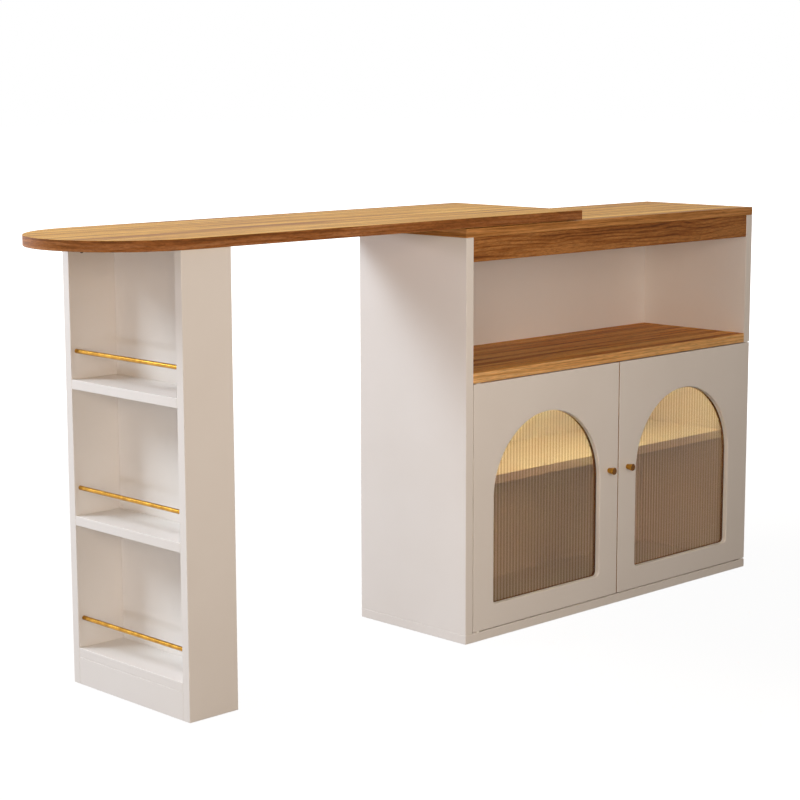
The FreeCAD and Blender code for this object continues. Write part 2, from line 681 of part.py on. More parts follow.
def pivot_bushes(label, x):
    """Flanged bushes for one door: one let into the base board, one into what is above the door."""
    bore = "pin_radius + pin_clearance"
    stocks = []
    bores = []
    ends = (
        (BASE_TOP, "+Z", "door_base_gap - bush_flange_clearance"),
        (DECK_UNDER, "-Z", "door_deck_gap - bush_flange_clearance"),
    )
    for level, towards_door, flange in ends:
        away = "-Z" if towards_door == "+Z" else "+Z"
        at = (x, "pivot_setback", level)
        stocks.append(rod("barrel", "bush_radius", "bush_depth", at, away))
        stocks.append(rod("flange", "bush_flange_radius", flange, at, towards_door))
        blind_end = shift(at, away, "pin_engagement + pin_clearance")
        bores.append(rod("bore", bore, f"pin_engagement + pin_clearance + ({flange})",
                         blind_end, towards_door))
    return keep(cut(label, fuse(label + "_stock", stocks), fuse(label + "_bores", bores)), label)


def pivot_pins(label, x):
    """Steel pins in the lower and upper edges of one door."""
    lower = (x, "pivot_setback", f"{DOOR_BOTTOM} + pin_depth")
    upper = (x, "pivot_setback", f"{DOOR_TOP} - pin_depth")
    return group(label, [
        rod("lower_pin", "pin_radius", "pin_depth + door_base_gap + pin_engagement", lower, "-Z"),
        rod("upper_pin", "pin_radius", "pin_depth + door_deck_gap + pin_engagement", upper, "+Z"),
    ])


pivot_bushes("left_pivot_bushes", LEFT_PIVOT)
pivot_bushes("right_pivot_bushes", RIGHT_PIVOT)

CATCH_FRONT = "(door_thickness + strike_thickness + catch_gap)"
LEFT_CATCH = f"({RIGHT_DOOR_START} - door_meeting_gap - catch_offset - catch_width)"
RIGHT_CATCH = f"({RIGHT_DOOR_START} + catch_offset)"
catch_size = ("catch_width", "catch_depth", "catch_height")
group("door_catches", [
    block("left_catch", (LEFT_CATCH, CATCH_FRONT, f"{DECK_UNDER} - catch_height"), catch_size),
    block("right_catch", (RIGHT_CATCH, CATCH_FRONT, f"{DECK_UNDER} - catch_height"), catch_size),
])

# ---------------------------------------------------------------- doors

GLASS_BACK = "(glass_setback + glass_thickness)"
PANE_HALF = "(window_width / 2 + glass_lap - glass_clearance)"
REED_STEPS = f"floor(({PANE_HALF} - reed_margin - reed_groove / 2) / reed_pitch)"


def in_front_loop(edge):
    """True for an edge of the window opening in a door's front face."""
    points = [vertex.Point for vertex in edge.Vertexes]
    margin = worth("2 * board_round")
    inside = all(margin < point.x < worth(LEFT_DOOR_WIDTH) - margin for point in points)
    return inside and all(abs(point.y) < 1e-4 for point in points)


def door(side, start, width, pivot, knob, catch):
    """One door with its window, glass, bead, knob, pivots and strike plate."""
    at = (start, "0", DOOR_BOTTOM)
    leaf = board(f"{side}_door", at, (width, "door_thickness", DOOR_HEIGHT))
    middle = WINDOW_MIDDLE
    opening = sketch_on(leaf, "XZ")
    arch(opening, middle, "window_sill")
    pocket(leaf, opening, "door_thickness")
    round_edges(leaf, "window_round", in_front_loop)
    rebate = sketch_on(leaf, "XZ", "-door_thickness")
    arch(rebate, middle, "window_sill", "glass_lap")
    pocket(leaf, rebate, "door_thickness - glass_setback", True)
    pivot_spot = [(f"{pivot} - {start}", "pivot_setback")]
    drill(leaf, "below", "pin_radius", "pin_depth", pivot_spot)
    drill(leaf, "above", "pin_radius", "pin_depth", pivot_spot)
    drill(leaf, "front", "knob_screw_radius", "door_thickness",
          [(f"{knob} - {start}", f"knob_height - {DOOR_BOTTOM}")])

    glass = new_body(f"{side}_glass", at)
    pane = sketch_on(glass, "XZ", "-glass_setback")
    arch(pane, middle, "window_sill", "(glass_lap - glass_clearance)")
    pad(glass, pane, "glass_thickness", True)
    groove = sketch_on(glass, "XY")
    first = f"({middle} - {REED_STEPS} * reed_pitch)"
    polygon(groove, [
        (f"{first} - reed_groove / 2", "glass_setback"),
        (f"{first} + reed_groove / 2", "glass_setback"),
        (first, "glass_setback + reed_depth"),
    ])
    first_groove = pocket(glass, groove, DOOR_HEIGHT, True)
    reeds = glass.newObject("PartDesign::LinearPattern", "Reeds")
    reeds.Originals = [first_groove]
    reeds.Direction = (groove, ["H_Axis"])
    bind(reeds, Length=f"2 * {REED_STEPS} * reed_pitch", Occurrences=f"2 * {REED_STEPS} + 1")
    glass.Tip = reeds
    pockets.append(reeds)
    keep(glass, f"{side}_glass")

    bead = new_body(f"{side}_glass_bead", at)
    rim = sketch_on(bead, "XZ", f"-{GLASS_BACK}")
    arch(rim, middle, "window_sill", "(glass_lap - bead_clearance)")
    pad(bead, rim, f"door_thickness - {GLASS_BACK}", True)
    inner = sketch_on(bead, "XZ", f"-{GLASS_BACK}")
    arch(inner, middle, "window_sill")
    pocket(bead, inner, f"door_thickness - {GLASS_BACK}")
    keep(bead, f"{side}_glass_bead")

    handle = new_body(f"{side}_knob", (knob, "0", "knob_height"))
    profile = sketch_on(handle, "XY")
    polygon(profile, [
        ("knob_screw_radius", "0"),
        ("knob_screw_radius", "-knob_screw_depth"),
        ("0", "-knob_screw_depth"),
        ("0", "-knob_length"),
        ("knob_front_radius - knob_chamfer", "-knob_length"),
        ("knob_front_radius", "knob_chamfer - knob_length"),
        ("knob_base_radius", "0"),
    ])
    turned = handle.newObject("PartDesign::Revolution", "Turned")
    turned.Profile = profile
    turned.ReferenceAxis = (profile, ["V_Axis"])
    turned.Angle = 360
    keep(handle, f"{side}_knob")

    screw_start = (knob, "door_thickness + knob_screw_head", "knob_height")
    screw_length = "knob_screw_head + door_thickness + knob_screw_depth"
    screws(f"{side}_knob_screw", [screw_start], "-Y", "knob_screw_radius", screw_length,
           "knob_screw_head_radius", "knob_screw_head")
    pivot_pins(f"{side}_pivot_pins", pivot)
    keep(block(f"{side}_strike_plate",
               (catch, "door_thickness", f"{DOOR_TOP} - strike_height - door_deck_gap"),
               ("catch_width", "strike_thickness", "strike_height")),
         f"{side}_strike_plate")


# Each knob stands midway between the window and the door's meeting edge.
KNOB_INSET = f"(({LEFT_DOOR_WIDTH} - window_width) / 4)"
LEFT_KNOB = f"({LEFT_DOOR_START} + {LEFT_DOOR_WIDTH} - {KNOB_INSET})"
RIGHT_KNOB = f"({RIGHT_DOOR_START} + {KNOB_INSET})"
door("left", LEFT_DOOR_START, LEFT_DOOR_WIDTH, LEFT_PIVOT, LEFT_KNOB, LEFT_CATCH)
door("right", RIGHT_DOOR_START, RIGHT_DOOR_WIDTH, RIGHT_PIVOT, RIGHT_KNOB, RIGHT_CATCH)

# ---------------------------------------------------------------- table top

CAM_X = ("cam_inset", "column_depth - cam_inset")
CAM_SIDES = (f"{COLUMN_FRONT} + column_side_thickness / 2",
             f"{COLUMN_FRONT} + column_width - column_side_thickness / 2")
CAM_LEVEL = f"({TABLE_UNDER} - cam_drop)"

table = new_body("table_top", (TABLE_CROWN, TABLE_FRONT, TABLE_UNDER))
board_sizes[table.Name] = ("table_length", "table_width", "table_thickness")
outline = sketch_on(table, "XY")
half_width = worth("table_width / 2")
square_end = worth("table_length")
corners = [FreeCAD.Vector(x, y, 0) for x, y in (
    (half_width, 0), (square_end, 0), (square_end, 2 * half_width), (half_width, 2 * half_width))]
for start, end in zip(corners, corners[1:]):
    outline.addGeometry(Part.LineSegment(start, end))
crown_middle = FreeCAD.Vector(half_width, half_width, 0)
crown = Part.Circle(crown_middle, FreeCAD.Vector(0, 0, 1), half_width)
outline.addGeometry(Part.ArcOfCircle(crown, math.pi / 2, 3 * math.pi / 2))
outline.addConstraint(Sketcher.Constraint("Coincident", 0, 2, 1, 1))
outline.addConstraint(Sketcher.Constraint("Coincident", 1, 2, 2, 1))
outline.addConstraint(Sketcher.Constraint("Tangent", 2, 2, 3, 1))
outline.addConstraint(Sketcher.Constraint("Tangent", 3, 2, 0, 1))
outline.addConstraint(Sketcher.Constraint("Horizontal", 0))
outline.addConstraint(Sketcher.Constraint("Horizontal", 2))
outline.addConstraint(Sketcher.Constraint("Vertical", 1))
outline.addConstraint(Sketcher.Constraint("PointOnObject", 0, 1, -1))
constrain(outline, "Radius", 3, "table_width / 2")
constrain(outline, "DistanceX", -1, 1, 3, 3, "table_width / 2")
constrain(outline, "DistanceX", -1, 1, 1, 1, "table_length")
pad(table, outline, "table_thickness")
round_edges(table, "wood_round")
drill(table, "below", "insert_radius", "insert_length + insert_relief",
      [("table_length - swivel_inset", "table_width / 2")])
cam_spots = [(f"{COLUMN_FACE} + {x} - {TABLE_CROWN}", f"{y} - {TABLE_FRONT}")
             for x in CAM_X for y in CAM_SIDES]
drill(table, "below", "cam_bolt_radius", "cam_bolt_depth", cam_spots)
keep(table, "table_top")

# ---------------------------------------------------------------- swivel

BOLT_TOP = f"({TABLE_UNDER} + bolt_depth)"
FLANGE_UNDER = f"({COUNTER_UNDER} - sleeve_flange)"
WASHER_UNDER = f"({FLANGE_UNDER} - slide_clearance - washer_thickness)"
swivel_at = (SWIVEL_X, "swivel_line")


def ring(label, outer, inner, under, thickness):
    """A flat ring about the swivel's axis."""
    at = (*swivel_at, under)
    return keep(cut(label, rod(label + "_stock", outer, thickness, at, "+Z"),
                    rod(label + "_bore", inner, thickness, at, "+Z")), label)


ring("slide_disc", "slide_radius", "sleeve_radius", "counter_height", "swivel_gap - slide_clearance")
ring("pivot_washer", "washer_radius", "bolt_radius + washer_clearance", WASHER_UNDER,
     "washer_thickness")
ring("pivot_insert", "insert_radius", "bolt_radius", TABLE_UNDER, "insert_length")

sleeve_stock = fuse("sleeve_stock", [
    rod("sleeve_flange_stock", "sleeve_flange_radius", "sleeve_flange", (*swivel_at, FLANGE_UNDER), "+Z"),
    rod("sleeve_barrel", "sleeve_radius", "counter_thickness", (*swivel_at, COUNTER_UNDER), "+Z"),
])
sleeve_bore = rod("sleeve_bore", "bolt_radius + bolt_clearance", "sleeve_flange + counter_thickness",
                  (*swivel_at, FLANGE_UNDER), "+Z")
keep(cut("pivot_sleeve", sleeve_stock, sleeve_bore), "pivot_sleeve")
keep(fuse("pivot_bolt", [
    rod("bolt_head_stock", "bolt_head_radius", "bolt_head", (*swivel_at, WASHER_UNDER), "-Z"),
    rod("bolt_shank", "bolt_radius", f"{BOLT_TOP} - {WASHER_UNDER}", (*swivel_at, WASHER_UNDER), "+Z"),
]), "pivot_bolt")

# ---------------------------------------------------------------- column

BOARDS = (
    ("column_deck", "lower_board_height"),
    ("lower_shelf", "middle_board_height"),
    ("upper_shelf", "upper_board_height"),
)
RAILS = (
    ("lower_rail", "(lower_board_height + lower_rail_rise)"),
    ("middle_rail", "(middle_board_height + rail_rise)"),
    ("upper_rail", "(upper_board_height + rail_rise)"),
)
BOARD_DOWEL_X = ("board_dowel_inset", f"{BOARD_DEPTH} - board_dowel_inset")
KICK_HEIGHT = f"({LOWER_BOARD_UNDER} - glide_thickness)"
SCREW_ROWS = ("column_width / 4", "3 * column_width / 4")


def column_side(label, start, inner_face):
    """A column side panel, bored for dowels, rails, cam nuts and their bolts."""
    panel = board(label, (COLUMN_FACE, start, "glide_thickness"),
                  ("column_depth", "column_side_thickness", COLUMN_HEIGHT))
    dowel_spots = []
    for _, height in BOARDS:
        middle = f"{height} - board_thickness / 2 - glide_thickness"
        dowel_spots += [(x, middle) for x in BOARD_DOWEL_X]
    dowel_spots.append(("kick_thickness / 2", f"{KICK_HEIGHT} / 2"))
    drill(panel, inner_face, "dowel_radius", "dowel_side_depth", dowel_spots)
    drill(panel, inner_face, "rail_radius + rail_clearance", "rail_depth",
          [("rail_setback", f"{height} - glide_thickness") for _, height in RAILS])
    drill(panel, inner_face, "cam_radius", "cam_depth",
          [(x, f"{CAM_LEVEL} - glide_thickness") for x in CAM_X])
    drill(panel, "above", "cam_bolt_radius", "cam_drop - cam_radius",
          [(x, "column_side_thickness / 2") for x in CAM_X])
    return panel


column_side("column_front_side", COLUMN_FRONT, "behind")
column_side("column_rear_side", f"{COLUMN_FRONT} + column_width - column_side_thickness", "front")

column_back = board("column_back",
                    (f"{COLUMN_BACK} - column_back_thickness", COLUMN_INNER_FRONT, "glide_thickness"),
                    ("column_back_thickness", COLUMN_INNER_WIDTH, COLUMN_HEIGHT))
screw_spots = [(f"{y} - column_side_thickness", f"{height} - board_thickness / 2 - glide_thickness")
               for _, height in BOARDS for y in SCREW_ROWS]
drill(column_back, "right", "panel_screw_radius", "column_back_thickness", screw_spots)
drill(column_back, "right", "panel_screw_head_radius", "panel_screw_head", screw_spots)

for label, height in BOARDS:
    shelf = board(label, (COLUMN_FACE, COLUMN_INNER_FRONT, f"{height} - board_thickness"),
                  (BOARD_DEPTH, COLUMN_INNER_WIDTH, "board_thickness"))
    for end in ("front", "behind"):
        drill(shelf, end, "dowel_radius", DOWEL_END_DEPTH,
              [(x, "board_thickness / 2") for x in BOARD_DOWEL_X])
    drill(shelf, "right", "panel_screw_radius", "column_screw_length - column_back_thickness",
          [(f"{y} - column_side_thickness", "board_thickness / 2") for y in SCREW_ROWS])
column_deck = next(item for item in subparts if item.Label == "column_deck")

kick = board("kick_board", (COLUMN_FACE, COLUMN_INNER_FRONT, "glide_thickness"),
             ("kick_thickness", COLUMN_INNER_WIDTH, KICK_HEIGHT))
for end in ("front", "behind"):
    drill(kick, end, "dowel_radius", DOWEL_END_DEPTH,
          [("kick_thickness / 2", f"{KICK_HEIGHT} / 2")])

FRONT_FACE = COLUMN_INNER_FRONT
REAR_FACE = f"({COLUMN_INNER_FRONT} + {COLUMN_INNER_WIDTH})"
dowel_places = [(f"{COLUMN_FACE} + {x}", f"{height} - board_thickness / 2")
                for _, height in BOARDS for x in BOARD_DOWEL_X]
dowel_places.append((f"{COLUMN_FACE} + kick_thickness / 2", f"glide_thickness + {KICK_HEIGHT} / 2"))
column_dowels = []
for x, z in dowel_places:
    front_start = (x, f"{FRONT_FACE} - dowel_side_depth", z)
    rear_start = (x, f"{REAR_FACE} + dowel_side_depth", z)
    column_dowels.append(rod("front_dowel", "dowel_radius", "dowel_length", front_start, "+Y"))
    column_dowels.append(rod("rear_dowel", "dowel_radius", "dowel_length", rear_start, "-Y"))
group("column_dowels", column_dowels)

screws("column_back_screws",
       [(COLUMN_BACK, f"{COLUMN_FRONT} + {y}", f"{height} - board_thickness / 2")
        for _, height in BOARDS for y in SCREW_ROWS],
       "-X", "panel_screw_radius", "column_screw_length", "panel_screw_head_radius",
       "panel_screw_head")

# Brass guard rails, let into both side panels.
for label, height in RAILS:
    start = (f"{COLUMN_FACE} + rail_setback", f"{FRONT_FACE} - rail_depth", height)
    keep(rod(label, "rail_radius", f"{COLUMN_INNER_WIDTH} + 2 * rail_depth", start, "+Y"), label)

# Cam nuts in the side panels draw the table down by bolts screwed into its underside.
cams = []
slots = []
cam_bolts = []
for x in CAM_X:
    cam_x = f"{COLUMN_FACE} + {x}"
    faces = ((FRONT_FACE, "-Y", "-"), (REAR_FACE, "+Y", "+"))
    for face, direction, sign in faces:
        cams.append(rod("cam", "cam_radius", "cam_depth", (cam_x, face, CAM_LEVEL), direction))
        slot_start = face if sign == "+" else f"{face} - cam_slot_depth"
        slots.append(block("cam_slot",
                           (f"{cam_x} - cam_radius", slot_start, f"{CAM_LEVEL} - cam_slot_width / 2"),
                           ("2 * cam_radius", "cam_slot_depth", "cam_slot_width")))
    for y in CAM_SIDES:
        cam_bolts.append(rod("cam_bolt", "cam_bolt_radius", "cam_bolt_depth + cam_drop - cam_radius",
                             (cam_x, y, f"{CAM_LEVEL} + cam_radius"), "+Z"))
keep(cut("cam_nuts", fuse("cam_stock", cams), fuse("cam_slots", slots)), "cam_nuts")
group("cam_bolts", cam_bolts)

# ---------------------------------------------------------------- rollers

ROLLER_ROWS = ("swivel_line - roller_spacing / 2", "swivel_line + roller_spacing / 2")
BRACKET_TOP = f"({LOWER_BOARD_UNDER} - roller_radius)"
FLANGE_END = f"({BRACKET_HALF} + bracket_flange)"
CHEEK_INNER = "(roller_width / 2 + roller_side_gap)"
SCREW_X = f"({FLANGE_END} - bracket_screw_inset)"
SCREW_Y = "(bracket_width / 2 - bracket_screw_inset)"

brackets = []
axles = []
screw_places = []
for name, y in zip(("front", "rear"), ROLLER_ROWS):
    centre = (ROLLER_X, y, "roller_radius")
    bracket = new_body(f"{name}_bracket", (ROLLER_X, f"{y} - bracket_width / 2", "roller_radius"))
    section = sketch_on(bracket, "XZ")
    polygon(section, [
        (f"-{FLANGE_END}", BRACKET_TOP),
        (f"-{FLANGE_END}", f"{BRACKET_TOP} - bracket_wall"),
        (f"-{BRACKET_HALF}", f"{BRACKET_TOP} - bracket_wall"),
        (f"-{BRACKET_HALF}", "-bracket_drop"),
        (f"-{CHEEK_INNER}", "-bracket_drop"),
        (f"-{CHEEK_INNER}", f"{BRACKET_TOP} - bracket_wall"),
        (CHEEK_INNER, f"{BRACKET_TOP} - bracket_wall"),
        (CHEEK_INNER, "-bracket_drop"),
        (BRACKET_HALF, "-bracket_drop"),
        (BRACKET_HALF, f"{BRACKET_TOP} - bracket_wall"),
        (FLANGE_END, f"{BRACKET_TOP} - bracket_wall"),
        (FLANGE_END, BRACKET_TOP),
    ])
    pad(bracket, section, "bracket_width", True)
    axle_holes = sketch_on(bracket, "YZ", f"-{BRACKET_HALF}")
    circle(axle_holes, "bracket_width / 2", "0", "axle_radius")
    pocket(bracket, axle_holes, f"2 * {BRACKET_HALF}", True)
    screw_holes = sketch_on(bracket, "XY", f"{BRACKET_TOP} - bracket_wall")
    for x_sign in ("-", ""):
        for y_part in ("bracket_screw_inset", "bracket_width - bracket_screw_inset"):
            circle(screw_holes, f"{x_sign}{SCREW_X}", y_part, "bracket_screw_radius")
    pocket(bracket, screw_holes, "bracket_wall", True)
    brackets.append(bracket)

    axle_start = (f"{ROLLER_X} - {BRACKET_HALF} - axle_end", y, "roller_radius")
    axles.append(rod("axle", "axle_radius", f"2 * ({BRACKET_HALF} + axle_end)", axle_start, "+X"))
    for x_sign in ("-", "+"):
        for y_sign in ("-", "+"):
            screw_places.append((f"{ROLLER_X} {x_sign} {SCREW_X}", f"{y} {y_sign} {SCREW_Y}",
                                 f"{LOWER_BOARD_UNDER} - bracket_wall - bracket_screw_head"))

    roller = new_body(f"{name}_roller", (f"{ROLLER_X} - roller_width / 2", y, "roller_radius"))
    disc = sketch_on(roller, "YZ")
    circle(disc, "0", "0", "roller_radius")
    pad(roller, disc, "roller_width")
    round_edges(roller, "roller_round", lambda edge: edge.Closed)
    bore = sketch_on(roller, "YZ")
    circle(bore, "0", "0", "axle_radius + axle_clearance")
    pocket(roller, bore, "roller_width", True)
    keep(roller, f"{name}_roller")

group("roller_brackets", brackets)
group("roller_axles", axles)
screws("bracket_screws", screw_places, "+Z", "bracket_screw_radius", "bracket_screw_length",
       "bracket_screw_head_radius", "bracket_screw_head")
drill(column_deck, "below", "bracket_screw_radius",
      "bracket_screw_length - bracket_wall - bracket_screw_head",
      [(f"{x} - {COLUMN_FACE}", f"{y} - {COLUMN_INNER_FRONT}") for x, y, _ in screw_places])

# ---------------------------------------------------------------- check and write

doc.recompute()
faults = [item.Label for item in doc.Objects if "Invalid" in item.State or "Error" in item.State]
if faults:
    raise RuntimeError("failed objects: " + ", ".join(faults))
for cutting in pockets:
    if cutting.Shape.Volume > cutting.BaseFeature.Shape.Volume - 1e-3:
        raise RuntimeError(f"{cutting.Label} cuts nothing")
for part in subparts:
    if part.Shape.isNull() or not part.Shape.isValid():
        raise RuntimeError(f"{part.Label} has no valid shape")
for part in subparts:
    part.Shape.exportStep(f"parts/{part.Label}.step")
whole = Part.makeCompound([part.Shape for part in subparts]).optimalBoundingBox(False, False)
print(f"{len(subparts)} sub-parts, {whole.XLength:.1f} x {whole.YLength:.1f} x {whole.ZLength:.1f} mm")
print(f"x {whole.XMin:.2f}..{whole.XMax:.2f}  y {whole.YMin:.2f}..{whole.YMax:.2f}"
      f"  z {whole.ZMin:.2f}..{whole.ZMax:.2f}")
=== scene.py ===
import math

import bpy
import numpy as np
from mathutils import Matrix, Vector


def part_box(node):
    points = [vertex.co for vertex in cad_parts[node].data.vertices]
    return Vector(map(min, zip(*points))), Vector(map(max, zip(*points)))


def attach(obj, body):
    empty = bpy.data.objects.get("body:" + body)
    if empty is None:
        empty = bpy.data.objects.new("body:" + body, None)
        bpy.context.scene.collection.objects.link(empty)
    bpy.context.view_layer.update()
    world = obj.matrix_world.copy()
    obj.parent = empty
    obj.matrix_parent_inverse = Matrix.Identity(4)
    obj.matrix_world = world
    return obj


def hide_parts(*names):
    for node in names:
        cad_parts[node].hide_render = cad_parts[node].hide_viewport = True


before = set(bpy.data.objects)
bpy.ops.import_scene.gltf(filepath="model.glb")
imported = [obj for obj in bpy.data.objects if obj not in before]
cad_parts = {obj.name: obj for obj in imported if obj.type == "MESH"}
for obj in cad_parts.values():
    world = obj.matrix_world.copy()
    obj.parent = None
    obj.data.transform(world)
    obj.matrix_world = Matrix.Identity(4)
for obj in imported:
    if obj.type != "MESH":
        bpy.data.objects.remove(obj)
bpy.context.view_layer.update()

scene = bpy.context.scene
scene.view_settings.view_transform = "Standard"


# ------------------------------------------------------------------ camera
# A standing camera some four metres off, to the left of the counter and in front of it, with a
# long lens. It looks a little down, so that the table top shows as a thin bright band.

IMAGE_SIDE = 800
FOCAL_LENGTH_PX = 2007.22
OPTICAL_CENTRE_PX = (407.39, 397.08)
SENSOR_WIDTH_MM = 36
FARTHEST_SEEN = 100
camera_place = Vector((-3.04994, -3.08316, 1.20799))
heading, tilt, roll = (math.radians(angle) for angle in (44.398, -9.042, -0.126))

forward = Vector((math.sin(heading) * math.cos(tilt), math.cos(heading) * math.cos(tilt),
                  math.sin(tilt)))
level_right = Vector((math.cos(heading), -math.sin(heading), 0))
level_up = level_right.cross(forward)
right = level_right * math.cos(roll) + level_up * math.sin(roll)
up = level_up * math.cos(roll) - level_right * math.sin(roll)

camera_data = bpy.data.cameras.new("camera")
camera_data.sensor_width = SENSOR_WIDTH_MM
camera_data.lens = FOCAL_LENGTH_PX * SENSOR_WIDTH_MM / IMAGE_SIDE
camera_data.shift_x = 0.5 - OPTICAL_CENTRE_PX[0] / IMAGE_SIDE
camera_data.shift_y = OPTICAL_CENTRE_PX[1] / IMAGE_SIDE - 0.5
camera_data.clip_end = FARTHEST_SEEN
camera = bpy.data.objects.new("camera", camera_data)
scene.collection.objects.link(camera)
camera_turn = Matrix((right, up, -forward)).transposed().to_4x4()
camera.matrix_world = Matrix.Translation(camera_place) @ camera_turn
scene.camera = camera


# ------------------------------------------------------------------ painted boards
# Carcase, doors, column and shelves: boards sprayed with a warm off-white lacquer. The sprayed
# film gives a satin face with a faint orange peel. The doors' meeting edges are painted brown as
# the shade in the seam between them.

MM = 0.001


def linear(hex_colour):
    """The linear colour of an sRGB hex value, with full opacity."""
    channels = [int(hex_colour[i:i + 2], 16) / 255 for i in (1, 3, 5)]
    return tuple(c / 12.92 if c <= 0.04045 else ((c + 0.055) / 1.055) ** 2.4 for c in channels) + (1,)


def new_material(name):
    """An empty node material, and its node tree with an output."""
    material = bpy.data.materials.new(name)
    material.use_nodes = True
    material.node_tree.nodes.clear()
    return material, material.node_tree


def node(tree, kind, links=None, **settings):
    """Add one node: settings set its sockets by name or its own properties, links feed its sockets."""
    made = tree.nodes.new(kind)
    for key, value in settings.items():
        socket = made.inputs.get(key.replace("_", " "))
        if hasattr(made, key) and key not in ("inputs", "outputs"):
            setattr(made, key, value)
        elif socket is not None:
            socket.default_value = value
        else:
            raise KeyError(f"{kind} has no {key}")
    for key, source in (links or {}).items():
        tree.links.new(source, made.inputs[key])
    return made


def ramp(tree, factor, stops):
    """A colour ramp through stops of (position, hex colour)."""
    made = node(tree, "ShaderNodeValToRGB", {"Fac": factor})
    elements = made.color_ramp.elements
    while len(elements) < len(stops):
        elements.new(0.5)
    for element, (position, colour) in zip(elements, stops):
        element.position = position
        element.color = linear(colour)
    return made


def assign(material, *node_names):
    """Give a material to all slots of CAD nodes."""
    for name in node_names:
        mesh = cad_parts[name].data
        for index in range(max(1, len(mesh.materials))):
            if index < len(mesh.materials):
                mesh.materials[index] = material
            else:
                mesh.materials.append(material)


def satin_lacquer(name, seam_shade_band=None):
    """Warm off-white polyurethane lacquer, sprayed: nearly even colour, satin gloss, fine peel.

    A seam shade band is (x, half width, y): there the colour is brown, painted shade for the seam,
    from x less half the width to x plus half the width, and further back than y.
    """
    peel_width, peel_depth = 3 * MM, 0.2 * MM
    cloud_width = 260 * MM
    material, tree = new_material(name)
    place = node(tree, "ShaderNodeTexCoord").outputs["Object"]
    cloud = node(tree, "ShaderNodeTexNoise", {"Vector": place}, Scale=1 / cloud_width, Detail=3.0)
    colour = ramp(tree, cloud.outputs["Fac"], [(0.3, "#ece7e1"), (0.7, "#f0ece7")]).outputs["Color"]
    # Painted shade: a brown band on the doors' meeting edges stands for the shade in the seam.
    if seam_shade_band:
        x, y = node(tree, "ShaderNodeSeparateXYZ", {"Vector": place}).outputs[:2]
        near = node(tree, "ShaderNodeMath", {0: x}, operation="COMPARE")
        near.inputs[1].default_value, near.inputs[2].default_value = seam_shade_band[:2]
        behind = node(tree, "ShaderNodeMath", {0: y}, operation="GREATER_THAN")
        behind.inputs[1].default_value = seam_shade_band[2]
        mask = node(tree, "ShaderNodeMath", {0: near.outputs["Value"], 1: behind.outputs["Value"]},
                    operation="MULTIPLY")
        seam_shade_tone = ramp(tree, cloud.outputs["Fac"], [(0.3, "#a0713f"), (0.7, "#ae804e")])
        mixed = node(tree, "ShaderNodeMix", {"Factor": mask.outputs["Value"]}, data_type="RGBA")
        tree.links.new(colour, mixed.inputs["A"])
        tree.links.new(seam_shade_tone.outputs["Color"], mixed.inputs["B"])
        colour = mixed.outputs["Result"]
    peel = node(tree, "ShaderNodeTexNoise", {"Vector": place}, Scale=1 / peel_width, Detail=2.0)
    gloss = node(tree, "ShaderNodeMapRange", {"Value": cloud.outputs["Fac"]}, To_Min=0.36, To_Max=0.44)
    bump = node(tree, "ShaderNodeBump", {"Height": peel.outputs["Fac"]}, Strength=0.06,
                Distance=peel_depth)
    surface = node(tree, "ShaderNodeBsdfPrincipled",
                   {"Base Color": colour, "Roughness": gloss.outputs["Result"],
                    "Normal": bump.outputs["Normal"]}, IOR=1.48, Specular_IOR_Level=0.25)
    node(tree, "ShaderNodeOutputMaterial", {"Surface": surface.outputs["BSDF"]})
    return material


assign(satin_lacquer("satin_sprayed_lacquer"), "base_board", "left_side", "right_side", "back_panel",
       "inner_shelf", "column_front_side", "column_rear_side", "column_back", "upper_shelf",
       "lower_shelf", "column_deck", "kick_board")

# The doors' meeting edges get a brown band of painted shade, set 1 mm back from the front.
SEAM_SHADE_HALF_WIDTH = 3 * MM
SEAM_SHADE_SETBACK = 1 * MM
left_low, left_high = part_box("left_door")
right_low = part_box("right_door")[0]
seam = (left_high[0] + right_low[0]) / 2
painted_seam_shade = (seam, SEAM_SHADE_HALF_WIDTH, left_low[1] + SEAM_SHADE_SETBACK)
assign(satin_lacquer("satin_lacquer_with_seam_shade", painted_seam_shade), "left_door", "right_door")


# ------------------------------------------------------------------ wooden boards
# Table top, fixed counter, niche deck and apron: blockboard faced with oak veneer, its long edges
# banded, stained a warm brown and varnished satin. The table's edges are darker, as painted
# shade. The grain runs along each board's length.

FIGURE_STEPS = (0.42, 0.49, 0.54, 0.61)


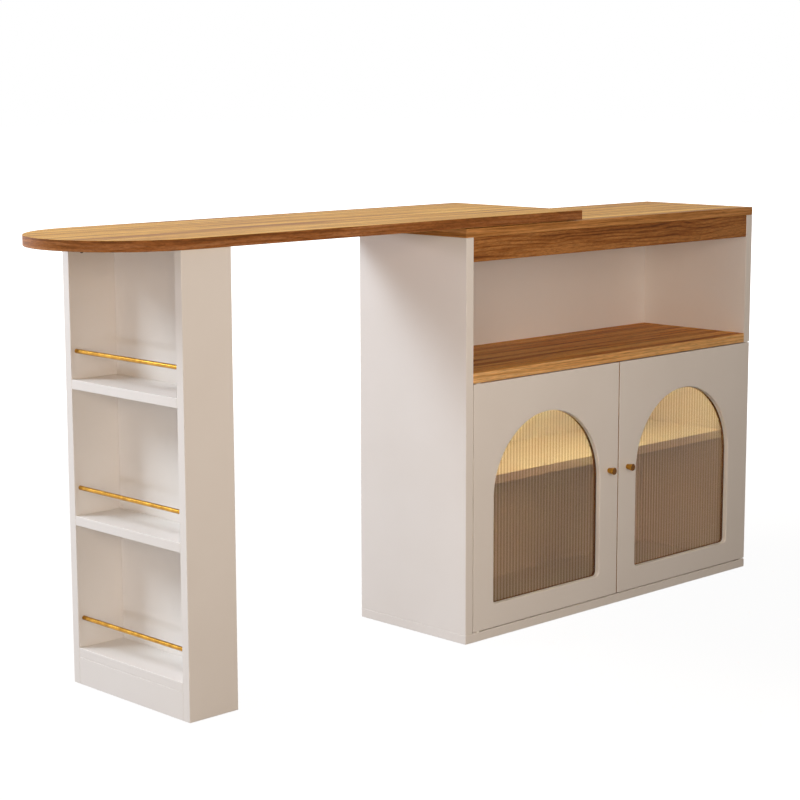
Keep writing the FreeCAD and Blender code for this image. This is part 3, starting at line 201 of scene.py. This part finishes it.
def stained_veneer(name, face_tones, edge_tones, ring_share, edge_pace=2.0):
    """Stained oak veneer, with one set of tones for the level faces and one for the upright edges.

    The figure is a field over the length of the grain and the way across it: x and y on a face,
    and edge_pace * (x + |y|) and z on an edge, so that it follows a round end. It adds long bands,
    growth rings that wander with a slow noise, and short streaks, and its value picks the tone.
    Dark pores and flecks are drawn out along it, the pores three times as wide as real ones, so
    that they show.
    """
    band_length, band_width, band_share = 1500 * MM, 34 * MM, 0.52
    streak_length, streak_width, streak_share = 320 * MM, 6 * MM, 0.44
    ring_width = 8 * MM
    wander_length, wander_width, wander_turn = 520 * MM, 90 * MM, 30.0
    fleck_length, fleck_width = 34 * MM, 3 * MM
    fleck_dark, fleck_light = 0.79, 1.17
    pore_length, pore_width, pore_depth = 14 * MM, 1.0 * MM, 0.15 * MM
    pore_dark = 0.66
    edge_slice = 0.7
    material, tree = new_material(name)
    place = node(tree, "ShaderNodeTexCoord")
    x, y, z = node(tree, "ShaderNodeSeparateXYZ", {"Vector": place.outputs["Object"]}).outputs
    upward = node(tree, "ShaderNodeSeparateXYZ", {"Vector": place.outputs["Normal"]}).outputs["Z"]
    level = node(tree, "ShaderNodeMath", {0: upward}, operation="ABSOLUTE").outputs["Value"]
    is_face = node(tree, "ShaderNodeMapRange", {"Value": level}, From_Min=0.6,
                   From_Max=0.8).outputs["Result"]
    off_centre = node(tree, "ShaderNodeMath", {0: y}, operation="ABSOLUTE").outputs["Value"]
    round_edge = node(tree, "ShaderNodeMath", {0: x, 1: off_centre}, operation="ADD").outputs["Value"]
    paced = node(tree, "ShaderNodeMath", {0: round_edge}, operation="MULTIPLY")
    paced.inputs[1].default_value = edge_pace
    edge = node(tree, "ShaderNodeCombineXYZ", {"X": paced.outputs["Value"], "Y": z},
                Z=edge_slice).outputs["Vector"]
    face = node(tree, "ShaderNodeCombineXYZ", {"X": x, "Y": y}).outputs["Vector"]
    place_mix = node(tree, "ShaderNodeMix", {"Factor": is_face}, data_type="VECTOR")
    tree.links.new(edge, place_mix.inputs["A"])
    tree.links.new(face, place_mix.inputs["B"])
    sheet = place_mix.outputs["Result"]
    across = node(tree, "ShaderNodeSeparateXYZ", {"Vector": sheet}).outputs["Y"]

    def stretched(length, width, detail, start):
        """Noise drawn out along the grain to this length, this wide across it, from its own start."""
        scaled = node(tree, "ShaderNodeMapping", {"Vector": sheet}, Scale=(1 / length, 1 / width, 1),
                      Location=(start, 0, start))
        return node(tree, "ShaderNodeTexNoise", {"Vector": scaled.outputs["Vector"]},
                    Scale=1.0, Detail=detail, Roughness=0.6).outputs["Fac"]

    def weighed(first, share, second):
        """The sum of first times its share and second."""
        total = node(tree, "ShaderNodeMath", {0: first, 2: second}, operation="MULTIPLY_ADD")
        total.inputs[1].default_value = share
        return total.outputs["Value"]

    bands = stretched(band_length, band_width, detail=3.0, start=0.0)
    wander = stretched(wander_length, wander_width, detail=1.5, start=3.0)
    streaks = stretched(streak_length, streak_width, detail=3.0, start=7.0)
    flecks = stretched(fleck_length, fleck_width, detail=1.0, start=11.0)
    pores = stretched(pore_length, pore_width, detail=1.0, start=13.0)
    turns = weighed(across, 2 * math.pi / ring_width, weighed(wander, wander_turn, bands))
    wave = node(tree, "ShaderNodeMath", {0: turns}, operation="SINE").outputs["Value"]
    rings = node(tree, "ShaderNodeMapRange", {"Value": wave}, From_Min=-0.2, From_Max=1.0,
                 To_Min=ring_share, To_Max=0.0, interpolation_type="SMOOTHSTEP").outputs["Result"]
    figure = weighed(bands, band_share, weighed(streaks, streak_share, rings))
    tone = node(tree, "ShaderNodeMix", {"Factor": is_face}, data_type="RGBA")
    edge_tone = ramp(tree, figure, list(zip(FIGURE_STEPS, edge_tones)))
    face_tone = ramp(tree, figure, list(zip(FIGURE_STEPS, face_tones)))
    tree.links.new(edge_tone.outputs["Color"], tone.inputs["A"])
    tree.links.new(face_tone.outputs["Color"], tone.inputs["B"])
    flecked = node(tree, "ShaderNodeMapRange", {"Value": flecks}, From_Min=0.3, From_Max=0.7,
                   To_Min=fleck_dark, To_Max=fleck_light)
    pits = node(tree, "ShaderNodeMapRange", {"Value": pores}, From_Min=0.30, From_Max=0.43,
                To_Min=pore_dark, To_Max=1.0)
    shade = node(tree, "ShaderNodeMath", {0: flecked.outputs["Result"], 1: pits.outputs["Result"]},
                 operation="MULTIPLY")
    tinted = node(tree, "ShaderNodeVectorMath",
                  {0: tone.outputs["Result"], "Scale": shade.outputs["Value"]}, operation="SCALE")
    gloss = node(tree, "ShaderNodeMapRange", {"Value": streaks}, To_Min=0.46, To_Max=0.58)
    bump = node(tree, "ShaderNodeBump", {"Height": pits.outputs["Result"]}, Strength=0.15,
                Distance=pore_depth)
    surface = node(tree, "ShaderNodeBsdfPrincipled",
                   {"Base Color": tinted.outputs["Vector"], "Roughness": gloss.outputs["Result"],
                    "Normal": bump.outputs["Normal"]}, IOR=1.45, Specular_IOR_Level=0.08)
    node(tree, "ShaderNodeOutputMaterial", {"Surface": surface.outputs["BSDF"]})
    return material


STRAIGHT_EDGE_PACE = 0.7
golden_tones = ("#946029", "#c8923f", "#daa852", "#f1c572")
# Painted shade: the table's edge tones are darker than its top's, for the shade on its upright edges.
# The deck's edge tones are paler than its top's.
table_edge_shade_tones = ("#7a4a23", "#975d2e", "#a36b3f", "#b27a4d")
counter_edge_tones = ("#a87038", "#c98e52", "#d49a61", "#dca670")
deck_tones = ("#763408", "#d98637", "#f0a54f", "#ffca75")
deck_edge_tones = ("#b87e42", "#dda464", "#e4ae6d", "#efbf82")
apron_tones = ("#6c3e1a", "#935a29", "#a16936", "#b47b45")
assign(stained_veneer("table_oak_veneer", golden_tones, table_edge_shade_tones, ring_share=0.03),
       "table_top")
assign(stained_veneer("counter_oak_veneer", golden_tones, counter_edge_tones, ring_share=0.03,
                      edge_pace=STRAIGHT_EDGE_PACE), "counter_top")
assign(stained_veneer("deck_oak_veneer", deck_tones, deck_edge_tones, ring_share=0.08,
                      edge_pace=STRAIGHT_EDGE_PACE), "niche_deck")
assign(stained_veneer("apron_oak_veneer", apron_tones, apron_tones, ring_share=0.08),
       "front_apron")


# ------------------------------------------------------------------ reeded glass
# One rolled pane in each door: flat-topped reeds on the front, flat behind, cut to the arch and
# held in the rebate by the bead. The rollers leave the reeds slightly soft.

REED_PITCH = 10 * MM
REED_DEPTH = 0.6 * MM
SAMPLES_PER_REED = 12
PANE_CORNER = 17 * MM
PANE_SMOOTH_ANGLE = 50


def reeded_pane(name, low, high):
    """A pane with upright reeds that are flat in the middle, as wide and high as its box.

    Across the pane, x runs from one side to the other. The lower edge is level with rounded
    corners, and the upper edge is a half circle: its height is the spring line plus the root of
    radius squared minus distance from the middle squared. The front is set back from the reeds'
    crests by depth * (1 - (1 - |2u - 1|^4)^(1/4)), where u runs from 0 to 1 across a reed.
    """
    middle = (low[0] + high[0]) / 2
    radius = (high[0] - low[0]) / 2
    spring = high[2] - radius
    columns = int(round(2 * radius / REED_PITCH * SAMPLES_PER_REED))
    x = np.linspace(middle - radius, middle + radius, columns + 1)
    away = np.abs(x - middle)
    top = spring + np.sqrt(np.maximum(radius ** 2 - away ** 2, 0))
    past = np.maximum(away - (radius - PANE_CORNER), 0)
    bottom = low[2] + PANE_CORNER - np.sqrt(np.maximum(PANE_CORNER ** 2 - past ** 2, 0))
    across = ((x - middle) / REED_PITCH) % 1
    front = low[1] + REED_DEPTH * (1 - np.maximum(1 - (2 * across - 1) ** 4, 0) ** 0.25)
    back = np.full_like(x, high[1])
    rings = [np.stack([x, y, z], axis=1) for y, z in
             ((front, bottom), (front, top), (back, top), (back, bottom))]
    points = np.concatenate(rings)
    count = columns + 1
    i = np.arange(columns)
    quads = []
    for start in range(4):
        a, b = start * count, (start + 1) % 4 * count
        quads.append(np.stack([a + i, a + i + 1, b + i + 1, b + i], axis=1))
    ends = np.array([[0, count, 2 * count, 3 * count],
                     [count - 1, 4 * count - 1, 3 * count - 1, 2 * count - 1]])
    faces = np.concatenate(quads + [ends])
    mesh = bpy.data.meshes.new(name)
    mesh.from_pydata(points.tolist(), [], faces.tolist())
    mesh.update()
    return mesh


def reeded_glass():
    """Rolled soda-lime glass: a light tea colour with light and shade painted in one stripe per reed,
    and slightly soft gloss.

    The index is set below that of window glass, so that the flat light of a white studio does not
    lie over the dim cupboard like a veil. Lamp light that falls in is filtered by a darker brown
    than the view through the glass, so that the cupboard is shaded inside.
    """
    material, tree = new_material("rolled_reeded_glass")
    place = node(tree, "ShaderNodeTexCoord").outputs["Object"]
    along = node(tree, "ShaderNodeSeparateXYZ", {"Vector": place}).outputs["X"]
    phase = node(tree, "ShaderNodeMath", {0: along}, operation="MULTIPLY")
    phase.inputs[1].default_value = 2 * math.pi / REED_PITCH
    wave = node(tree, "ShaderNodeMath", {0: phase.outputs["Value"]}, operation="SINE")
    reed = node(tree, "ShaderNodeMapRange", {"Value": wave.outputs["Value"]}, From_Min=-1.0)
    # Painted light and shade: the colour runs from dark brown in the grooves to near white on the
    # crests, for the light and dark lines that the reeds throw.
    tea_tint_and_reed_shading = ramp(tree, reed.outputs["Result"], [(0.0, "#bea07a"), (1.0, "#fff8ec")]).outputs["Color"]
    glass = node(tree, "ShaderNodeBsdfPrincipled", {"Base Color": tea_tint_and_reed_shading}, Roughness=0.03,
                 IOR=1.3, Transmission_Weight=1.0)
    # Lamp light is filtered by a darker brown than the view through the glass: this shades the
    # cupboard inside.
    clear = node(tree, "ShaderNodeBsdfTransparent", Color=linear("#a58668"))
    path = node(tree, "ShaderNodeLightPath")
    mixed = node(tree, "ShaderNodeMixShader", {0: path.outputs["Is Shadow Ray"]})
    tree.links.new(glass.outputs["BSDF"], mixed.inputs[1])
    tree.links.new(clear.outputs["BSDF"], mixed.inputs[2])
    node(tree, "ShaderNodeOutputMaterial", {"Surface": mixed.outputs["Shader"]})
    return material


def add_piece(name, mesh, material, body, smooth_angle, replaces):
    """Put a finished mesh into the scene as a piece that rides on a body, in place of CAD nodes."""
    mesh.materials.append(material)
    piece = bpy.data.objects.new(name, mesh)
    scene.collection.objects.link(piece)
    mesh.shade_smooth()
    mesh.set_sharp_from_angle(angle=math.radians(smooth_angle))
    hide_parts(*replaces)
    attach(piece, body)


glass = reeded_glass()
for side in ("left", "right"):
    low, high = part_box(f"{side}_glass")
    pane = reeded_pane(f"{side}_reeded_pane", low, high)
    add_piece(f"{side}_reeded_pane", pane, glass, f"{side}_leaf",
              PANE_SMOOTH_ANGLE, [f"{side}_glass"])


# ------------------------------------------------------------------ brass knobs and guard rails
# Knobs: turned from bar, a cone that widens to a flat front. Rails: drawn rod, let into the
# column's sides. Both are brass, waxed and left to age to a brown gold.

TURNED_SIDES = 72
BRASS_SMOOTH_ANGLE = 35
KNOB_CENTRE = 0.3 * MM
RAIL_CENTRE = 0.1 * MM


def turned(name, axis_x, axis_z, profile):
    """A solid of revolution about a line along Y: each profile point (radius, y) makes one ring.

    A ring's points are axis_x + radius * cos(angle), y, axis_z + radius * sin(angle). The first
    and the last ring are small and are closed by flat caps.
    """
    radii, depths = np.array(profile).T
    angle = np.linspace(0, 2 * math.pi, TURNED_SIDES, endpoint=False)
    x = axis_x + np.outer(radii, np.cos(angle))
    z = axis_z + np.outer(radii, np.sin(angle))
    y = np.repeat(depths[:, None], TURNED_SIDES, axis=1)
    points = np.stack([x, y, z], axis=2).reshape(-1, 3)
    last = len(radii) - 1
    ring, step = np.meshgrid(np.arange(last), np.arange(TURNED_SIDES), indexing="ij")
    ahead = (step + 1) % TURNED_SIDES
    faces = np.stack([ring * TURNED_SIDES + step, ring * TURNED_SIDES + ahead,
                      (ring + 1) * TURNED_SIDES + ahead, (ring + 1) * TURNED_SIDES + step], axis=2)
    first_cap = list(range(TURNED_SIDES))[::-1]
    last_cap = list(range(last * TURNED_SIDES, (last + 1) * TURNED_SIDES))
    mesh = bpy.data.meshes.new(name)
    mesh.from_pydata(points.tolist(), [], faces.reshape(-1, 4).tolist() + [first_cap, last_cap])
    mesh.update()
    return mesh


def knob_profile(radius, door_face, front):
    """A knob's (radius, y) points: eased foot on the door, cone, shoulder, round bevel, flat front.

    The bevel is a quarter circle: radius - bevel * (1 - cos t), front + bevel * (1 - sin t).
    """
    foot_radius, foot_ease, foot_length = 6 * MM, 0.05 * MM, 0.4 * MM
    shoulder_step, shoulder_start, shoulder_end = 0.1 * MM, 2.6 * MM, 2.2 * MM
    bevel, bevel_steps = 0.7 * MM, 5
    flat_edge = 2 * MM
    foot = [(KNOB_CENTRE, door_face), (foot_radius, door_face),
            (foot_radius + foot_ease, door_face - foot_length)]
    shoulder = [(radius - shoulder_step, front + shoulder_start), (radius, front + shoulder_end)]
    rim = [(radius - bevel + bevel * math.cos(t), front + bevel - bevel * math.sin(t))
           for t in np.linspace(0, math.pi / 2, bevel_steps)]
    return foot + shoulder + rim + [(radius - flat_edge, front), (KNOB_CENTRE, front)]


def aged_brass():
    """Waxed brass, turned or drawn: yellow gold on the sides, dark brown on ends and front faces as
    painted shade.
    """
    patch_width = 14 * MM
    material, tree = new_material("aged_turned_brass")
    place = node(tree, "ShaderNodeTexCoord")
    patches = node(tree, "ShaderNodeTexNoise", {"Vector": place.outputs["Object"]},
                   Scale=1 / patch_width, Detail=2.0).outputs["Fac"]
    # Painted shade: faces that look along Y, the knobs' fronts and the rails' ends, are made dark
    # brown.
    endwise = node(tree, "ShaderNodeSeparateXYZ", {"Vector": place.outputs["Normal"]}).outputs["Y"]
    facing = node(tree, "ShaderNodeMath", {0: endwise}, operation="ABSOLUTE").outputs["Value"]
    end_shade = node(tree, "ShaderNodeMapRange", {"Value": facing}, From_Min=0.35, From_Max=0.8)
    tone = node(tree, "ShaderNodeMix", {"Factor": end_shade.outputs["Result"]}, data_type="RGBA")
    side = ramp(tree, patches, [(0.35, "#b07e2c"), (0.65, "#cc9a3e")])
    end = ramp(tree, patches, [(0.35, "#553312"), (0.65, "#67421b")])
    tree.links.new(side.outputs["Color"], tone.inputs["A"])
    tree.links.new(end.outputs["Color"], tone.inputs["B"])
    gloss = node(tree, "ShaderNodeMapRange", {"Value": patches}, To_Min=0.16, To_Max=0.26)
    surface = node(tree, "ShaderNodeBsdfPrincipled",
                   {"Base Color": tone.outputs["Result"], "Roughness": gloss.outputs["Result"]},
                   Metallic=1.0)
    node(tree, "ShaderNodeOutputMaterial", {"Surface": surface.outputs["BSDF"]})
    return material


brass = aged_brass()
for side in ("left", "right"):
    low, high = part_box(f"{side}_knob")
    profile = knob_profile((high[0] - low[0]) / 2, high[1], low[1])
    knob = turned(f"{side}_brass_knob", (low[0] + high[0]) / 2, (low[2] + high[2]) / 2, profile)
    add_piece(f"{side}_brass_knob", knob, brass, f"{side}_leaf",
              BRASS_SMOOTH_ANGLE, [f"{side}_knob"])

for level in ("lower", "middle", "upper"):
    low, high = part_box(f"{level}_rail")
    radius = (high[0] - low[0]) / 2
    profile = [(RAIL_CENTRE, high[1]), (radius, high[1]), (radius, low[1]), (RAIL_CENTRE, low[1])]
    rail = turned(f"{level}_brass_rail", (low[0] + high[0]) / 2, (low[2] + high[2]) / 2, profile)
    add_piece(f"{level}_brass_rail", rail, brass, "swivel_table",
              BRASS_SMOOTH_ANGLE, [f"{level}_rail"])
assign(brass, "pivot_insert")


# ------------------------------------------------------------------ fittings
# Screws, pins, cam bolts, brackets and axles of zinc plated steel; bushes, glides, slide disc and
# catches moulded in white nylon; beech dowels; beads behind the glass, brown as painted shade at
# the pane's edge; cam nuts of blackened zinc alloy; rollers of grey rubber.

def zinc_plated_steel():
    """Zinc plated steel: pale grey with a mottled, half dull sheen."""
    spangle = 4 * MM
    material, tree = new_material("zinc_plated_steel")
    place = node(tree, "ShaderNodeTexCoord").outputs["Object"]
    mottle = node(tree, "ShaderNodeTexNoise", {"Vector": place}, Scale=1 / spangle, Detail=2.0)
    colour = ramp(tree, mottle.outputs["Fac"], [(0.3, "#8d8f90"), (0.7, "#a9aaa8")])
    gloss = node(tree, "ShaderNodeMapRange", {"Value": mottle.outputs["Fac"]},
                 To_Min=0.32, To_Max=0.5)
    surface = node(tree, "ShaderNodeBsdfPrincipled",
                   {"Base Color": colour.outputs["Color"], "Roughness": gloss.outputs["Result"]},
                   Metallic=1.0)
    node(tree, "ShaderNodeOutputMaterial", {"Surface": surface.outputs["BSDF"]})
    return material


def grained(name, dark, light, grain, roughness):
    """A moulded or sawn matt surface: two near tones over grain of this size, with a light bump."""
    grain_depth = 0.1 * MM
    material, tree = new_material(name)
    place = node(tree, "ShaderNodeTexCoord").outputs["Object"]
    noise = node(tree, "ShaderNodeTexNoise", {"Vector": place}, Scale=1 / grain, Detail=3.0)
    colour = ramp(tree, noise.outputs["Fac"], [(0.3, dark), (0.7, light)])
    bump = node(tree, "ShaderNodeBump", {"Height": noise.outputs["Fac"]}, Strength=0.1,
                Distance=grain_depth)
    surface = node(tree, "ShaderNodeBsdfPrincipled",
                   {"Base Color": colour.outputs["Color"], "Normal": bump.outputs["Normal"]},
                   Roughness=roughness, IOR=1.5)
    node(tree, "ShaderNodeOutputMaterial", {"Surface": surface.outputs["BSDF"]})
    return material


steel = zinc_plated_steel()
assign(steel, "shelf_pins", "base_screws", "back_screws", "left_knob_screw", "right_knob_screw",
       "left_pivot_pins", "right_pivot_pins", "left_strike_plate", "right_strike_plate", "cam_bolts",
       "column_back_screws", "pivot_bolt", "pivot_washer", "roller_brackets", "roller_axles",
       "bracket_screws")
assign(grained("moulded_white_nylon", "#dedbd2", "#e9e7df", 1.5 * MM, 0.45), "cabinet_glides",
       "door_catches", "left_pivot_bushes", "right_pivot_bushes", "pivot_sleeve", "slide_disc")
assign(grained("sawn_beech", "#b98f5f", "#cda678", 2 * MM, 0.7), "panel_dowels", "column_dowels")
# Painted shade: the beads are brown so that they show as the dark line at the pane's edge.
assign(grained("brown_bead_as_pane_edge_shade", "#7e5430", "#8c603a", 6 * MM, 0.5), "left_glass_bead",
       "right_glass_bead")
assign(grained("black_oxide_zinc_alloy", "#2a2624", "#383330", 1 * MM, 0.5), "cam_nuts")
assign(grained("grey_roller_rubber", "#3a3a3b", "#484848", 0.8 * MM, 0.75), "front_roller",
       "rear_roller")


# ------------------------------------------------------------------ light in the upper bay
# An anodised aluminium channel under the niche deck with an opal strip over warm diodes. It is
# screwed up behind the doors and makes the upper bay glow through the glass.

def anodised_aluminium():
    """Extruded and anodised aluminium: even pale grey, dull metallic, faint die lines along X.

    The lines are drawn coarser than real ones, so that they show in the gloss.
    """
    line_length, line_width = 400 * MM, 0.6 * MM
    material, tree = new_material("anodised_aluminium")
    place = node(tree, "ShaderNodeTexCoord").outputs["Object"]
    along = node(tree, "ShaderNodeMapping", {"Vector": place},
                 Scale=(1 / line_length, 1 / line_width, 1 / line_width))
    lines = node(tree, "ShaderNodeTexNoise", {"Vector": along.outputs["Vector"]}, Scale=1.0,
                 Detail=1.0)
    gloss = node(tree, "ShaderNodeMapRange", {"Value": lines.outputs["Fac"]},
                 To_Min=0.38, To_Max=0.5)
    surface = node(tree, "ShaderNodeBsdfPrincipled", {"Roughness": gloss.outputs["Result"]},
                   Base_Color=linear("#c9cacb"), Metallic=1.0)
    node(tree, "ShaderNodeOutputMaterial", {"Surface": surface.outputs["BSDF"]})
    return material


def lit_opal_strip():
    """Opal acrylic over warm diodes: glows evenly, a little brighter over each diode."""
    diode_spacing = 16 * MM
    between_diodes, over_diode = 36.0, 43.0
    material, tree = new_material("lit_opal_acrylic")
    place = node(tree, "ShaderNodeTexCoord").outputs["Object"]
    along = node(tree, "ShaderNodeSeparateXYZ", {"Vector": place}).outputs["X"]
    phase = node(tree, "ShaderNodeMath", {0: along}, operation="MULTIPLY")
    phase.inputs[1].default_value = 2 * math.pi / diode_spacing
    wave = node(tree, "ShaderNodeMath", {0: phase.outputs["Value"]}, operation="SINE")
    glow = node(tree, "ShaderNodeMapRange", {"Value": wave.outputs["Value"]}, From_Min=-1.0,
                To_Min=between_diodes, To_Max=over_diode)
    surface = node(tree, "ShaderNodeBsdfPrincipled", {"Emission Strength": glow.outputs["Result"]},
                   Base_Color=linear("#f4efe2"), Emission_Color=linear("#fbffd2"), Roughness=0.4)
    node(tree, "ShaderNodeOutputMaterial", {"Surface": surface.outputs["BSDF"]})
    return material


assign(anodised_aluminium(), "light_bar")
assign(lit_opal_strip(), "light_diffuser")


# ------------------------------------------------------------------ room
# A white studio: a floor that takes a soft shadow, even warm light from all round, and soft lamps:
# two behind on the left, whose light the table keeps off the top of the cabinet's side, and weaker
# ones behind on the right, above, in front, beside the camera and low on the left.

def looked_at(tree):
    """One for the camera's rays, also by way of gloss or glass, until they meet a matt surface."""
    half_a_bounce = 0.5
    ray = node(tree, "ShaderNodeLightPath").outputs
    straight = node(tree, "ShaderNodeMath", {0: ray["Is Camera Ray"], 1: ray["Is Glossy Ray"]},
                    operation="MAXIMUM")
    clear = node(tree, "ShaderNodeMath",
                 {0: straight.outputs["Value"], 1: ray["Is Transmission Ray"]},
                 operation="MAXIMUM")
    before_matt = node(tree, "ShaderNodeMath", {0: ray["Diffuse Depth"]}, operation="LESS_THAN")
    before_matt.inputs[1].default_value = half_a_bounce
    seen = node(tree, "ShaderNodeMath",
                {0: clear.outputs["Value"], 1: before_matt.outputs["Value"]},
                operation="MULTIPLY")
    return seen.outputs["Value"]


def white_floor():
    """Matt white floor, lifted to plain white where the camera, gloss or glass looks at it.

    Near the object part of the light that falls on it shows, so that it keeps a soft shadow; this
    part fades out between the two radii, and further off the floor is as white as the backdrop.
    For the light it throws back it is dark and brown around a point in front of the right door,
    as if a dark cloth lay there.
    """
    lift_strength = 1.62
    near_lift, near_radius, far_radius = 0.60, 1.6, 5.0
    cloth_place, cloth_radius, cloth_edge = (0.95, -0.65, 0), 0.45, 1.3
    material, tree = new_material("white_studio_floor")
    ground = node(tree, "ShaderNodeTexCoord").outputs["Object"]
    from_cloth = node(tree, "ShaderNodeVectorMath", {0: ground}, operation="DISTANCE")
    from_cloth.inputs[1].default_value = cloth_place
    mask = node(tree, "ShaderNodeMapRange", {"Value": from_cloth.outputs["Value"]},
                From_Min=cloth_radius, From_Max=cloth_edge,
                interpolation_type="SMOOTHSTEP").outputs["Result"]
    tone = ramp(tree, mask, [(0.0, "#2c1e12"), (1.0, "#7b7670")]).outputs["Color"]
    matt = node(tree, "ShaderNodeBsdfDiffuse", {"Color": tone})
    white = node(tree, "ShaderNodeEmission", Color=(1, 1, 1, 1), Strength=lift_strength)
    distance = node(tree, "ShaderNodeVectorMath", {0: ground}, operation="LENGTH")
    lift = node(tree, "ShaderNodeMapRange", {"Value": distance.outputs["Value"]},
                From_Min=near_radius, From_Max=far_radius, To_Min=near_lift, To_Max=1.0,
                interpolation_type="SMOOTHSTEP")
    share = node(tree, "ShaderNodeMath", {0: looked_at(tree), 1: lift.outputs["Result"]},
                 operation="MULTIPLY")
    mixed = node(tree, "ShaderNodeMixShader", {0: share.outputs["Value"]})
    tree.links.new(matt.outputs["BSDF"], mixed.inputs[1])
    tree.links.new(white.outputs["Emission"], mixed.inputs[2])
    node(tree, "ShaderNodeOutputMaterial", {"Surface": mixed.outputs["Shader"]})
    return material


FLOOR_HALF = 40
floor_mesh = bpy.data.meshes.new("floor")
corners = [(-FLOOR_HALF, -FLOOR_HALF, 0), (FLOOR_HALF, -FLOOR_HALF, 0),
           (FLOOR_HALF, FLOOR_HALF, 0), (-FLOOR_HALF, FLOOR_HALF, 0)]
floor_mesh.from_pydata(corners, [], [(0, 1, 2, 3)])
floor_mesh.materials.append(white_floor())
floor = bpy.data.objects.new("floor", floor_mesh)
scene.collection.objects.link(floor)

world = bpy.data.worlds.new("studio")
world.use_nodes = True
scene.world = world
sky = world.node_tree
sky.nodes.clear()
ambient = node(sky, "ShaderNodeBackground", Color=linear("#ffebd4"), Strength=0.21)
plain_white = node(sky, "ShaderNodeBackground", Color=(1, 1, 1, 1), Strength=1.0)
backdrop = node(sky, "ShaderNodeMixShader", {0: looked_at(sky)})
sky.links.new(ambient.outputs["Background"], backdrop.inputs[1])
sky.links.new(plain_white.outputs["Background"], backdrop.inputs[2])
node(sky, "ShaderNodeOutputWorld", {"Surface": backdrop.outputs["Shader"]})


def softbox(name, place, aim, width, height, watts, colour):
    """A rectangular lamp at a place, turned towards a point."""
    lamp = bpy.data.lights.new(name, "AREA")
    lamp.shape = "RECTANGLE"
    lamp.size, lamp.size_y = width, height
    lamp.energy = watts
    lamp.color = linear(colour)[:3]
    holder = bpy.data.objects.new(name, lamp)
    scene.collection.objects.link(holder)
    place = Vector(place)
    turn = (Vector(aim) - place).to_track_quat("-Z", "Y").to_matrix().to_4x4()
    holder.matrix_world = Matrix.Translation(place) @ turn


softbox("rear_left_lamp", (-2.89, 2.42, 3.14), (0, 0, 0.5), 1.8, 1.4, 131, "#e5f2ff")
softbox("low_rear_lamp", (-1.69, 4.17, 1.46), (0, 0, 0.5), 1.0, 0.6, 75, "#fcf1fc")
softbox("rear_right_lamp", (1.76, 3.05, 3.46), (0, 0, 0.5), 1.8, 1.4, 25, "#fff6ea")
softbox("left_lamp", (-3.30, -0.40, 0.30), (-0.8, 0, 0.20), 1.2, 0.4, 9.5, "#f0f4ff")
softbox("camera_side_lamp", (-3.20, -3.20, 1.30), (0, 0, 0.5), 1.8, 1.4, 54, "#ffecda")
softbox("front_lamp", (-0.20, -2.40, 0.88), (0.5, 0, 0.65), 0.9, 0.7, 6.2, "#fff1e6")
softbox("near_front_lamp", (-0.35, -1.50, 0.90), (0.3, 0, 0.6), 0.4, 0.4, 3.9, "#fff1e6")
softbox("overhead_lamp", (-0.30, 0.17, 4.50), (0, 0, 0.5), 3.0, 3.0, 36, "#fff4e0")
